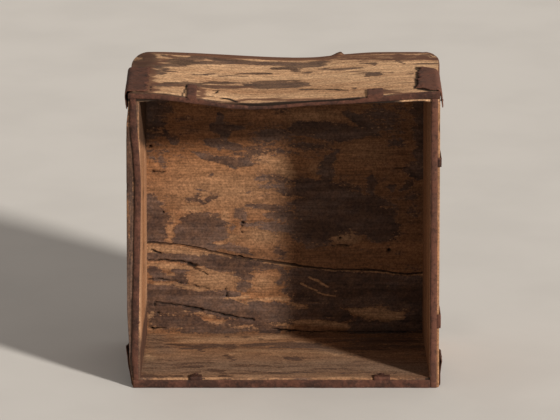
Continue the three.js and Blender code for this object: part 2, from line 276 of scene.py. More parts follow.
# What is left of the dark patina on the top wall, where the iron has stained it, and where it is palest
TOP_DARK = (
    Stroke(((-140, -44, 3), (-128, -41, 3.5), (-112, -33, 5),
            (-104, -28, 7), (-95, -27, 4), (-84, -23, 2))),
    Stroke(((-88, -21, 2), (-75, -17, 4), (-62, -13, 4), (-48, -11, 2.5), (-38, -9, 1.5))),
    Stroke(((-141, -51, 3), (-125, -48, 4), (-112, -43, 3), (-104, -38, 3), (-95, -35, 5)), 0.85),
    Stroke(((-95, -35, 5), (-80, -33, 5), (-65, -29, 5), (-50, -26, 4), (-38, -23, 3)), 0.95),
    Stroke(((-42, -19, 5), (-30, -17, 10), (-20, -17, 13), (-5, -18, 14),
            (8, -17, 12), (18, -17, 8), (25, -21, 4))),
    Stroke(((-160, 28, 10), (-153, 44, 15), (-147, 60, 12), (-150, 74, 8)), 0.95),
    Stroke(((-143, 28, 6), (-135, 22, 5), (-126, 15, 3)), 0.8),
    Stroke(((-132, 68, 4), (-120, 62, 6), (-102, 64, 5), (-84, 69, 5)), 0.72),
    Stroke(((52, 72, 6), (80, 62, 8), (110, 60, 10), (150, 60, 12), (163, 52, 8)), 0.48),
    Stroke(((-143, 12, 5), (-138, 4, 9), (-133, 0, 6))),
    Stroke(((-127, 9, 2.5), (-117, 10, 2)), 0.9),
    Stroke(((-136, 27, 5), (-125, 33, 6), (-112, 40, 6), (-100, 45, 6),
            (-88, 50, 5), (-70, 51, 3.5), (-58, 53, 2))),
    Stroke(((-130, 46, 5), (-114, 52, 7), (-100, 58, 7), (-90, 62, 4)), 0.9),
    Stroke(((-78, 66, 5), (-62, 62, 7), (-46, 62, 7), (-30, 57, 5),
            (-14, 57, 5), (0, 55, 8), (18, 54, 10), (36, 53, 8))),
    Stroke(((30, 60, 5), (44, 61, 4), (52, 58, 2)), 0.9),
    Stroke(((-36, 24, 2.5), (-27, 24, 4), (-17, 24, 2.5))),
    Stroke(((-58, 17, 1.2), (-48, 21, 2), (-38, 23, 2)), 0.75),
    Stroke(((-108, 3, 1), (-96, 6, 1.6), (-85, 9, 1.6), (-74, 13, 1)), 0.85),
    Stroke(((-72, 8, 0.8), (-58, 11, 1.2), (-42, 14, 1)), 0.8),
    Stroke(((-14, 40, 3.5), (-4, 40, 4), (8, 40, 3), (16, 40, 1.5)), 0.95),
    Stroke(((8, 37, 3), (11, 33, 4)), 0.95),
    Stroke(((9, 24, 1.5), (18, 24, 2), (26, 24, 3.5), (28, 23, 2)), 0.85),
    Stroke(((42, 36, 1.5), (50, 31, 2.5), (62, 28, 3), (72, 28, 2.5), (82, 29, 1.2)), 0.95),
    Stroke(((80, 46, 1.5), (88, 42, 2.4), (98, 40, 3), (96, 34, 2)), 0.7),
    Stroke(((70, 17, 1.2), (82, 13, 1.8), (92, 9, 1.8)), 0.85),
    Stroke(((90, -2, 3), (95, 3, 5), (99, 4, 6), (100, -2, 4))),
    Stroke(((106, 6, 2), (114, 6, 2), (119, 5, 1.5)), 0.7),
    Stroke(((130, 9, 4), (138, 8, 5)), 0.55),
    Stroke(((130, -3, 2), (136, -2, 2)), 0.8),
    Stroke(((117, 66, 5), (122, 60, 9), (125, 68, 6))),
    Stroke(((122, 54, 4), (124, 47, 2))),
    Stroke(((150, 71, 4), (149, 60, 5), (151, 54, 3))),
    Stroke(((141, 35, 1.6), (150, 36, 2.4), (161, 36, 1.8))),
    Stroke(((118, 46, 1), (126, 40, 1.4), (131, 37, 1)), 0.8),
    Stroke(((17, -39, 2), (24, -38, 4)), 0.6),
    Stroke(((72, -47, 2.5), (76, -45, 2)), 0.7),
    Stroke(((104, -62, 6), (108, -62, 3)), 0.9),
    Stroke(((-134, -57, 4), (-137, -70, 4)), 0.5),
    Stroke(((-103, 8, 2), (-98, 7, 2)), 0.5),
)
TOP_RUST = (
    Stroke(((-160, 25, 8), (-155, 40, 14), (-150, 55, 14), (-150, 72, 10)), 0.75),
    Stroke(((-140, 34, 8), (-136, 46, 9), (-132, 52, 6)), 0.7),
    Stroke(((-147, 20, 8), (-145, 0, 8), (-144, -40, 8), (-145, -80, 9)), 1.1),
    Stroke(((-138, 78, 4), (-120, 77, 5), (-90, 76, 6), (-60, 76, 8),
            (-30, 75, 4), (0, 74, 5), (25, 74, 4), (50, 70, 6)), 1.1),
    Stroke(((-122, 68, 4), (-119, 62, 4)), 0.9),
    Stroke(((52, 74, 8), (66, 68, 9), (84, 66, 14), (104, 66, 15),
            (124, 64, 15), (144, 62, 12), (162, 55, 12)), 0.78),
    Stroke(((-60, -83, 4), (-38, -68, 3), (-28, -67, 4), (-14, -70, 5),
            (0, -76, 5), (24, -78, 5), (60, -82, 3)), 0.95),
    Stroke(((-90, -40, 5), (-89, -60, 5), (-88, -78, 5)), 1.0),
    Stroke(((106, -62, 6), (110, -68, 8), (124, -80, 5), (150, -80, 6)), 0.75),
    Stroke(((-142, -45, 4), (-110, -40, 4), (-60, -28, 5), (-36, -24, 4)), 0.5),
    Stroke(((-8, 66, 2), (2, 62, 1.5)), 0.8),
    Stroke(((144, -20, 5), (141, -55, 5)), 0.7),
)
TOP_PALE = (
    Stroke(((-136, -22, 9), (-124, -18, 13), (-106, -12, 12)), 0.9),
    Stroke(((-47, -10, 1.4), (-34, -10, 1.6)), 1.3),
    Stroke(((-128, -66, 8), (-110, -62, 8)), 1.1),
    Stroke(((-80, -58, 8), (-70, -56, 10)), 0.9),
    Stroke(((96, 22, 12), (120, 16, 14), (138, 10, 10)), 0.8),
    Stroke(((20, -56, 10), (50, -64, 8)), 0.7),
    Stroke(((-40, 38, 8), (-10, 28, 8), (30, 10, 12), (70, -5, 12)), 0.5),
    Stroke(((-146, 74, 3), (-139, 68, 6), (-131, 62, 2.5)), 0.9),
    Stroke(((-113, 69, 3), (-104, 68, 3)), 1.2),
    Stroke(((-92, -46, 0.8), (-92, -78, 0.8)), 1.5),
)

# The same on the two parts of the base board, above and below its split
UPPER_DARK = (
    # The first mark darkens the top left corner: patina and painted shade under the top wall
    Mark(-146, 272, 16, 40, depth=0.75),
    Mark(-120, 232, 6.5, 4.2),
    Stroke(((-130, 245, 2.5), (-126, 236, 3)), 0.75),
    Stroke(((-69, 262, 2), (-69, 255, 4), (-68, 247, 8), (-66, 238, 5), (-67, 231, 2))),
    Stroke(((-78, 250, 2.5), (-70, 247, 4), (-58, 247, 3), (-44, 246, 1.5))),
    Stroke(((-82, 231, 3), (-74, 229, 5), (-71, 223, 2.5))),
    Stroke(((-68, 228, 4), (-56, 226, 4), (-48, 225, 2))),
    Stroke(((-102, 220, 1), (-92, 216, 2.5), (-83, 212, 3.5),
            (-66, 210, 4), (-54, 208, 5), (-40, 208, 3.5)), 0.9),
    Stroke(((-58, 204, 2), (-52, 201, 2)), 0.8),
    Mark(-13, 238, 19, 9, depth=0.85),
    Mark(-30, 217, 26, 8, depth=0.5),
    Mark(-8, 218, 12, 6, depth=0.6),
    Mark(-133, 209, 4, 9, depth=0.6),
    Mark(-143, 213, 5, 6, depth=0.5),
    Stroke(((-29, 188, 4), (-20, 188, 9), (-8, 184, 13), (4, 178, 12)), 0.55),
    Mark(-81, 193, 3, 3, depth=0.75),
    Mark(-40, 174, 3, 3, depth=0.6),
    Stroke(((-104, 166, 3), (-97, 167, 4.5), (-90, 163, 3)), 0.85),
    Stroke(((-85, 163, 2), (-82, 167, 4), (-77, 169, 4), (-72, 168, 2)), 0.85),
    Stroke(((-97, 177, 1.2), (-86, 175, 1.6), (-80, 172, 1)), 0.7),
    Stroke(((-146, 163, 8), (-143, 150, 12), (-142, 118, 12)), 1.0),
    Stroke(((-100, 140, 9), (-85, 139, 10), (-72, 138, 8)), 1.1),
    Stroke(((-110, 127, 9), (-90, 127, 12), (-72, 128, 9)), 1.1),
    Stroke(((-114, 118, 6), (-96, 116, 8), (-82, 112, 6)), 1.0),
    Stroke(((-78, 110, 3), (-66, 111, 3), (-60, 111, 5),
            (-50, 109, 5), (-42, 106, 4), (-36, 102, 2)), 0.95),
    Stroke(((-52, 150, 3), (-46, 150, 6), (-42, 144, 3)), 0.8),
    Stroke(((-44, 158, 2), (-22, 157, 2.5), (0, 155, 4)), 0.85),
    Stroke(((-22, 148, 2.5), (-6, 147, 5), (6, 146, 6)), 0.8),
    Stroke(((-46, 137, 3), (-36, 136, 4), (-22, 135, 6), (-8, 133, 7), (6, 134, 5)), 0.72),
    Mark(-57, 132, 3, 4, depth=0.75),
    Mark(-125, 138, 3, 3, depth=0.7),
    Mark(-112, 141, 3, 3, depth=0.7),
    Stroke(((-8, 108, 4), (-4, 102, 5)), 0.7),
    Stroke(((26, 152, 17), (45, 150, 26), (66, 150, 26), (88, 146, 20), (108, 142, 17)), 1.0),
    Stroke(((22, 178, 12), (40, 178, 8), (60, 172, 8), (85, 166, 6), (112, 161, 4)), 1.0),
    Stroke(((16, 134, 12), (30, 128, 14), (44, 128, 14), (58, 138, 12)), 1.0),
    Stroke(((96, 128, 9), (108, 128, 9), (116, 134, 9)), 1.0),
    Stroke(((46, 190, 8), (46, 204, 7), (52, 213, 5), (56, 222, 2)), 0.95),
    Stroke(((13, 247, 6), (30, 245, 8), (50, 242, 9),
            (66, 241, 8), (85, 241, 5), (104, 244, 2.5)), 1.1),
    Stroke(((58, 232, 4), (66, 234, 3)), 1.0),
    Stroke(((70, 262, 3), (76, 258, 5), (84, 254, 6), (92, 249, 4)), 0.95),
    Mark(108, 258, 22, 18, depth=0.5),
    Stroke(((146, 276, 8), (147, 250, 6), (148, 225, 5), (148, 205, 4)), 0.85),
    Stroke(((133, 200, 3), (140, 200, 7), (147, 197, 7)), 0.95),
    Stroke(((94, 190, 3), (96, 182, 5), (94, 176, 5), (98, 172, 3)), 0.95),
    Stroke(((118, 179, 3), (120, 174, 2.5)), 0.9),
    Stroke(((131, 176, 3.5), (134, 182, 5), (140, 184, 3.5)), 0.95),
    Mark(30, 225, 26, 9, depth=0.5),
    Mark(0, 268, 12, 6, depth=0.6),
    Mark(122, 230, 10, 6, depth=0.45),
    Mark(140, 160, 8, 20, depth=0.35),
)
UPPER_PALE = (
    Mark(-70, 178, 60, 24, depth=0.6),
    Mark(-19, 203, 22, 12, depth=0.45),
    Stroke(((-26, 212, 8), (-8, 206, 10), (2, 196, 8)), 0.8),
    Mark(-100, 200, 30, 12, depth=0.4),
    Mark(-100, 154, 12, 6, depth=0.7),
    Mark(-64, 145, 5, 14, depth=0.6),
    Mark(-26, 124, 22, 10, depth=0.6),
    Mark(-60, 122, 10, 5, depth=0.6),
    Mark(-68, 113, 5, 3, depth=0.9),
    Mark(-124, 128, 5, 20, depth=0.5),
    Mark(66, 122, 14, 7, depth=1.1),
    Mark(30, 260, 28, 7, depth=0.5),
    Mark(90, 220, 24, 14, depth=0.3),
    Mark(34, 202, 6, 8, depth=0.4),
)
LOWER_DARK = (
    Stroke(((-152, 100, 3), (-135, 101, 3), (-120, 99, 4),
            (-105, 98, 5), (-92, 97, 6), (-80, 96, 8)), 1.0),
    Stroke(((-84, 95, 7), (-72, 93, 9), (-60, 91, 9), (-50, 92, 10), (-44, 92, 9), (-41, 86, 5)), 1.1),
    Stroke(((-34, 94, 3), (-28, 92, 5), (-20, 89, 5), (-12, 88, 3.5)), 0.95),
    Stroke(((-10, 96, 3), (-3, 98, 3), (6, 92, 5)), 0.8),
    Stroke(((-54, 79, 3), (-47, 78, 6), (-39, 77, 4)), 0.9),
    Stroke(((-147, 84, 4), (-141, 82, 5), (-136, 77, 4)), 0.95),
    Stroke(((-126, 84, 2), (-120, 83, 4), (-115, 79, 7), (-113, 73, 5)), 1.05),
    Stroke(((-142, 75, 2.5), (-122, 76, 2.5)), 0.8),
    Stroke(((-51, 63, 3), (-46, 65, 5.5), (-40, 67, 3)), 0.85),
    Stroke(((-6, 86, 3), (-2, 77, 5), (-6, 69, 4)), 0.75),
    Stroke(((-148, 58, 9), (-126, 58, 9), (-111, 53, 9), (-95, 52, 8),
            (-80, 54, 6), (-65, 56, 4), (-50, 57, 2)), 1.1),
    Stroke(((-150, 45, 9), (-125, 44, 9), (-100, 43, 9), (-75, 42, 10),
            (-60, 40, 11), (-45, 36, 12), (-25, 36, 12)), 1.1),
    Stroke(((-25, 36, 12), (0, 32, 13), (20, 36, 10)), 0.95),
    Stroke(((-142, 27, 9), (-120, 25, 9), (-100, 24, 8),
            (-75, 16, 5), (-45, 26, 6), (-10, 16, 7)), 0.85),
    Stroke(((-110, 15, 4), (-60, 14, 4), (-30, 22, 6)), 0.7),
    Stroke(((30, 62, 26), (60, 62, 24), (90, 60, 26), (125, 60, 26), (150, 58, 24)), 0.95),
    Stroke(((14, 82, 9), (40, 78, 9), (80, 74, 10), (130, 70, 10)), 0.95),
    Stroke(((34, 40, 12), (56, 38, 12), (66, 30, 9)), 0.9),
    Stroke(((80, 20, 9), (110, 17, 8), (150, 24, 12)), 0.95),
    Stroke(((128, 48, 10), (150, 40, 16)), 0.9),
)
LOWER_PALE = (
    Stroke(((-146, 109, 5), (-128, 107, 5.5), (-108, 104, 5), (-92, 102, 3), (-82, 103, 1.5)), 0.9),
    Mark(-128, 88.5, 22, 3.5, slope=-0.1, depth=1.0),
    Mark(-79, 73, 29, 11, slope=-0.1, depth=0.8),
    Mark(-24, 70, 14, 9, depth=0.6),
    Mark(-127, 78, 6, 2, depth=0.9),
    Stroke(((-142, 69, 2), (-110, 66, 2.5), (-88, 61, 2)), 0.8),
    Stroke(((-82, 52, 1.2), (-66, 52, 2), (-50, 53, 1.8), (-40, 55, 1.4)), 1.1),
    Stroke(((-42, 48, 1.5), (-31, 50, 2.6), (-20, 49, 2)), 0.9),
    Stroke(((-20, 51, 2), (-5, 51, 2.6), (4, 50, 2.6)), 0.95),
    Stroke(((-112, 38, 1.5), (-100, 36, 2), (-88, 34, 1.5), (-78, 31, 1.5)), 0.8),
    Stroke(((-88, 25, 1.5), (-70, 23, 2.5), (-54, 19, 2.5), (-38, 18, 2), (-30, 16, 1)), 0.8),
    Mark(-147, 33, 3, 7, depth=0.9),
    Mark(-146, 18, 3, 4, depth=0.6),
    Stroke(((-13, 24, 4), (-2, 22, 5)), 0.9),
    Mark(14, 41, 13, 6, depth=1.3),
    Stroke(((0, 26, 3), (30, 26, 4), (58, 22, 3.5), (75, 19, 2)), 1.1),
    Stroke(((76, 38, 3), (90, 37, 8), (108, 35, 9), (126, 31, 6)), 1.3),
    Mark(138, 43, 8, 5, depth=0.7),
    Mark(108, 64, 18, 2, depth=0.8),
    Stroke(((30, 55, 5), (42, 52, 6), (54, 56, 6), (60, 52, 3)), 1.0),
    Mark(75, 69, 5, 5, depth=0.8),
)

# On the lower wall: what is dark, what is palest, and what has weathered grey
FLOOR_DARK = (
    Stroke(((-128, 33, 2), (-108, 30, 3.5), (-98, 27, 5), (-88, 30, 3.5),
            (-75, 28, 4.5), (-65, 27, 6), (-58, 24, 8)), 1.2),
    Stroke(((-112, 18, 3), (-100, 20, 4), (-84, 22, 3.5), (-72, 24, 3)), 0.9),
    Stroke(((-92, 14, 3), (-88, 9, 2)), 0.8),
    Stroke(((-45, 29, 3), (-38, 31, 5), (-20, 33, 4), (-14, 36, 5),
            (0, 34, 7), (8, 35, 8), (20, 32, 6), (36, 32, 5)), 1.0),
    Stroke(((-14, 24, 2), (0, 24, 2.4), (30, 23, 2.4), (46, 20, 3)), 1.0),
    Mark(-62, 60, 5, 4, depth=0.7),
    Mark(-42, 58, 4, 4, depth=0.8),
    Mark(-27, 52, 4, 2.4, depth=0.8),
    Stroke(((-150, 50, 8), (-138, 44, 9), (-133, 30, 8)), 0.3),
    Stroke(((-62, 0, 2.5), (-60, -14, 3), (-57, -22, 2)), 0.6),
    Stroke(((-83, -18, 4), (-80, -32, 3)), 0.45),
    Stroke(((-76, -56, 5), (-68, -62, 4)), 0.6),
    Stroke(((-112, -64, 2), (-94, -62, 2.5)), 0.6),
    Stroke(((2, -16, 5), (10, -16, 6), (17, -20, 3)), 0.45),
    Stroke(((-150, -72, 7), (-132, -77, 4), (-112, -76, 3)), 0.7),
    Stroke(((-66, -74, 3), (-44, -78, 3)), 0.7),
    Mark(-40, -80, 6, 3, depth=0.7),
    Stroke(((24, -60, 8), (50, -45, 8), (80, -52, 8)), 0.3),
    Mark(-100, -36, 20, 14, depth=0.25),
    Mark(110, 40, 50, 30, depth=0.6),
    Stroke(((-150, -30, 3), (-120, -34, 2), (-80, -30, 2)), 0.42),
    Stroke(((-60, -36, 3), (-30, -40, 5), (-8, -34, 4)), 0.42),
    Stroke(((-34, -60, 3), (0, -64, 4), (20, -58, 3)), 0.42),
    Stroke(((60, -66, 2), (90, -62, 3), (110, -66, 2)), 0.45),
)
FLOOR_PALE = (
    Stroke(((-110, 45, 6), (-80, 50, 9), (-50, 52, 9), (-20, 58, 7), (0, 62, 6)), 1.2),
    Stroke(((-50, 13, 4), (-20, 12, 5), (10, 12, 5), (40, 6, 5), (60, -4, 4)), 0.9),
    Stroke(((-120, 2, 3), (-104, 2, 3)), 0.8),
    Stroke(((-120, 58, 2), (-95, 58, 3)), 1.2),
    Mark(-102, 30, 5, 2, depth=1.6),
    Stroke(((-148, -6, 5), (-147, -18, 6)), 2.6),
    Mark(-68, 42, 6, 20, depth=0.8),
    Stroke(((28, -26, 8), (54, -30, 12), (72, -18, 8)), 0.8),
    Stroke(((-62, -80, 5), (-30, -76, 5)), 1.0),
    Stroke(((40, -80, 5), (88, -78, 5)), 1.3),
    Stroke(((-60, 2, 3), (-48, 3, 2)), 0.9),
)
FLOOR_GREY = (
    Stroke(((-140, -42, 30), (-100, -42, 34), (-60, -40, 30), (-20, -46, 30), (20, -46, 30)), 0.95),
    Stroke(((20, -46, 30), (60, -38, 30), (100, -46, 28), (140, -50, 26)), 0.95),
    Stroke(((-142, 60, 10), (-138, 30, 12), (-130, 10, 12)), 0.7),
    Stroke(((20, 36, 8), (44, 16, 8), (60, 4, 6)), 0.7),
)

# Cracks in the base board beside its split and in the top wall, and scratches
BOARD_CRACKS = (
    Crack(((-150, 95.8), (-130, 95.5), (-113, 93.3), (-103, 91.5)), 0.88),
    Crack(((-105, 91), (-101, 90.3), (-98, 89.5)), 2.12),
    Crack(((-100, 87), (-92, 83), (-84, 79)), 0.62),
    Crack(((-149, 73.5), (-136, 74), (-110, 69.5), (-82, 62.5)), 0.5),
    Crack(((-143, 48), (-118, 43.7), (-104, 41.5), (-80, 36),
           (-60, 31.5), (-45, 28.5), (-34, 26.5)), 0.94),
    Crack(((-108, 42.5), (-96, 40), (-91, 38.5)), 1.50),
    Crack(((-142.5, 48), (-142.5, 43)), 0.75),
    Crack(((-12, 16.5), (0, 15.3), (12, 14.5)), 1.12),
    # Along the joint with the lower wall, on its shaded right: a dark line that is partly painted shade
    Crack(((-8, 13.4), (20, 13.2), (60, 13.0), (149, 13.2)), 0.5),
    Crack(((-48, 137), (-47.5, 132), (-47, 127)), 0.88),
    Crack(((-143.5, 197), (-131, 197.3)), 0.75),
    Crack(((-65, 63), (-63.5, 57)), 1.00),
    Crack(((-145, 107), (-140, 104.8), (-135, 103.8)), 1.38),
    Crack(((-149, 19), (-144, 17), (-138, 17.8), (-131, 18.2)), 0.8),
    Crack(((120, 200.8), (134, 201.5)), 0.75),
    Crack(((53, 112.5), (64, 113), (70, 111.5)), 0.75),
    Crack(((127, 79.8), (140, 79.2), (152, 81.5)), 1.12),
)
TOP_CRACKS = (
    Crack(((-66, -68), (-58, -71), (-52, -77), (-47, -82)), 3.2),
    Crack(((-104, -38), (-106.5, -62), (-107.5, -78)), 1.2),
    Crack(((17, -36), (24, -38)), 1.8),
    Crack(((28, -38), (38, -42), (46, -43), (56, -47), (66, -51)), 2.4),
    Crack(((-76, -46), (-70, -44), (-73, -54)), 1.3),
    Crack(((-82, -68), (-76, -67)), 1.4),
    Crack(((-142, -55), (-141.5, -70)), 1.0),
)
TOP_SCRATCHES = (Crack(((51, 63), (71, 56), (93, 50), (120, 47)), 1.4),)
BOARD_SCRATCHES = (
    Crack(((18, 69), (27, 64), (36, 61)), 1.5),
    Crack(((27, 76), (36, 72), (48, 65)), 1.8),
    Crack(((36, 59), (45, 56), (56, 54)), 1.4),
    Crack(((-90, 66), (-70, 58), (-40, 44)), 0.6),
    Crack(((-98, 89), (-84, 85), (-65, 79), (-48, 76)), 0.7),
)
FLOOR_SCRATCHES = (Crack(((-14, 8), (-7, -2), (-1.5, -16), (1, -32), (2.5, -62)), 1.0),)

# Old nail holes and worm holes in the base board: across, up, radius
BOARD_HOLES = (
    (-146.6, 225.7, 1.8),
    (-143.5, 196.9, 1.5),
    (-132.6, 150.7, 1.4),
    (-46, 138.6, 1.9),
    (-63.8, 54.3, 1.6),
    (-138.5, 34.9, 1.4),
    (-145.6, 17.2, 1.8),
    (60.9, 121, 1.9),
    (114.5, 107.2, 2.4),
)

# Dark knots on the inner face of the left wall: up, and back from the mouth
LEFT_KNOTS = (Mark(195, -5, 5, 6), Mark(133, 5, 5, 6), Mark(107, 5, 5, 5))


def tone(red, green, blue):
    """A linear colour from screen values of 0 to 255."""
    shares = np.array((red, green, blue)) / 255
    linear = np.where(shares <= 0.04045, shares / 12.92, ((shares + 0.055) / 1.055) ** 2.4)
    return (*linear.tolist(), 1.0)


def even_curve(values, share):
    """The height of a smooth curve through evenly spaced values."""
    last = len(values) - 1
    known = np.array(values, float)
    place = np.clip(share, 0, 1) * last
    i = np.floor(place).astype(int)
    t = place - i
    before, here, after, later = (known[np.clip(i + k, 0, last)] for k in (-1, 0, 1, 2))
    lift = (after - before) / 2
    fall = (later - here) / 2
    cubic = (2 * here - 2 * after + lift + fall) * t**3
    return cubic + (3 * after - 3 * here - 2 * lift - fall) * t**2 + lift * t + here


def rise(value, low, high):
    """0 below low, 1 above high, and smooth between."""
    share = np.clip((value - low) / (high - low), 0, 1)
    return share * share * (3 - 2 * share)


def between(value, start, end):
    """1 between two places and 0 beyond. Each place says where the change begins and where it ends."""
    return rise(value, *start) * (1 - rise(value, *end))


def settle(points):
    """Moves points of the square box to where they lie on the sagged, spread and worn one."""
    x, y, z = points.T
    across = ((x - MIDDLE_X) / (WIDTH / 2) + 1) / 2
    back = np.clip((y - MOUTH_Y) / (REAR_Y - MOUTH_Y), 0, 1)
    mouth = MOUTH_SAG * even_curve(MOUTH_SAG_CURVE, across)
    rear = REAR_SAG * even_curve(REAR_SAG_CURVE, across)
    sag = mouth * (1 - back) + rear * back - REAR_RISE * rise(back, REAR_RISE_FROM, 1)
    share = np.clip((z - HEIGHT + SAG_REACH) / SAG_REACH, 0, 1)
    spread = 1 + FOOT_SPREAD / WIDTH * (1 - 2 * z / HEIGHT)
    low_left = (1 - rise(z, *CORNER_WEAR_FADE)) * (1 - rise(x, LEFT_X, LEFT_X + CORNER_WEAR_REACH))
    low_left = low_left * (1 - CORNER_WEAR_LESS_BEHIND * back)
    bulge = (1 - rise(x, LEFT_X, LEFT_X + LEFT_BULGE_REACH)) * between(z, LEFT_BULGE_FOOT, LEFT_BULGE_HEAD)
    placed_x = MIDDLE_X + (x - MIDDLE_X) * spread + CORNER_WEAR * low_left - LEFT_BULGE * bulge
    return np.stack([placed_x, y, z - sag * share], axis=1)


def smooth_noise(points, seed):
    """Smooth noise from -1 to 1 that changes over one unit."""
    base = np.floor(points).astype(np.int64)
    ease = points - base
    ease = ease * ease * (3 - 2 * ease)
    total = np.zeros(len(points))
    for corner in itertools.product((0, 1), repeat=3):
        cell = base + np.array(corner)
        mixed = cell[:, X] * 73856093 ^ cell[:, Y] * 19349663 ^ cell[:, Z] * 83492791 ^ seed * 7919
        mixed = (mixed ^ (mixed >> 13)) * 1274126177
        value = ((mixed ^ (mixed >> 16)) & 0xFFFF) / 32767.5 - 1
        total += value * np.prod(np.where(corner, ease, 1 - ease), axis=1)
    return total


def layered_noise(points, seed, layers=3):
    """Noise with finer and weaker noise on top of it, from -1 to 1."""
    total = sum(smooth_noise(points * 2**k, seed + k) / 2**k for k in range(layers))
    return total / (2 - 2 ** (1 - layers))


def flat_noise(across, up, length, breadth, seed, layers=3):
    """Layered noise over a face, stretched to a length and a breadth."""
    places = np.stack([across / length, up / breadth, np.zeros(len(across))], axis=1)
    return layered_noise(places, seed, layers)


def marked(across, up, marks):
    """How deep each place on a face lies in a set of soft long marks."""
    field = np.zeros(len(across))
    for mark in marks:
        inside = np.clip(MARK_STRENGTH - MARK_FADE * mark.distance(across, up), 0, MARK_MOST)
        field = np.maximum(field, inside * mark.depth)
    return field


def crack_depth(across, up, crack, seed, ragged=1.0):
    """How deep each place on a face lies in a ragged crack, from 0 to 1."""
    near = close_to(crack.points, CRACK_REACH, across, up)
    x, y = across[near], up[near]
    x = x + CRACK_WANDER * ragged * flat_noise(y, x, 5, 5, seed)
    y = y + CRACK_WANDER * ragged * flat_noise(x, y, 5, 5, seed + 3)
    nearest = np.full(len(x), np.inf)
    for start, end in itertools.pairwise(crack.points):
        nearest = np.minimum(nearest, along_piece(start, end, x, y)[1])
    widths = 1.0 + CRACK_UNEVENNESS * ragged * flat_noise(x, y, 8, 8, seed + 5)
    half_width = crack.half_width * np.maximum(widths, CRACK_NARROWEST)
    depth = np.zeros(len(across))
    depth[near] = np.clip(CRACK_RIM - nearest / half_width, 0, 1)
    return depth


def stations(low, high, step):
    """Places along one side of a plank, close together near its ends."""
    reach = ARRIS_LINES[-1]
    count = max(2, round((high - low - 2 * reach) / step) + 1)
    middle = np.linspace(low + reach, high - reach, count)
    return np.concatenate([low + ARRIS_LINES[:-1], middle, high - ARRIS_LINES[:-1][::-1]])


def skin(places):
    """The points and faces of a closed box with a line at each place along x, y and z."""
    counts = [len(p) for p in places]
    grid = np.indices(counts).reshape(3, -1).T
    on_skin = ((grid == 0) | (grid == np.array(counts) - 1)).any(axis=1)
    kept = grid[on_skin]
    index = np.full(counts, -1)
    index[tuple(kept.T)] = np.arange(len(kept))
    points = np.stack([places[axis][kept[:, axis]] for axis in range(3)], axis=1)
    faces = []
    for axis in range(3):
        for end in (0, counts[axis] - 1):
            sheet = np.take(index, end, axis=axis)
            corners = [sheet[:-1, :-1], sheet[1:, :-1], sheet[1:, 1:], sheet[:-1, 1:]]
            quads = np.stack(corners, axis=-1).reshape(-1, 4)
            outward = (end > 0) != (axis == 1)
            faces.append(quads if outward else quads[:, ::-1])
    return points, np.concatenate(faces)


def rounded(points, low, high, radius):
    """Rounds the arrises of a box. Returns the points and the way out at each."""
    middle = (low + high) / 2
    offset = points - middle
    core = np.maximum((high - low) / 2 - radius[:, None], 0)
    beyond = np.sign(offset) * np.maximum(np.abs(offset) - core, 0)
    reach = np.maximum(np.linalg.norm(beyond, axis=1), 1e-9)
    out = beyond / reach[:, None]
    return middle + np.clip(offset, -core, core) + out * np.minimum(radius, reach)[:, None], out


def arris_distance(points, low, high):
    """How far each point of a box's skin lies from the nearest arris."""
    return np.sort(np.minimum(points - low, high - points), axis=1)[:, 1]


# The dark field holds real soot and also painted shade: in the split, under and above the top strip, and
# beside the plates
FIELDS = ("patina", "pale", "soot", "rust", "grey")

# How far the outlines of marks are torn, and what pale marks and scratches take off the patina
TORN_ALONG = 6.0
TORN_ACROSS = 2.0
PALE_TAKES = 0.35
SCRATCH_TAKES = 1.5
SCRATCH_PALE = 1.3


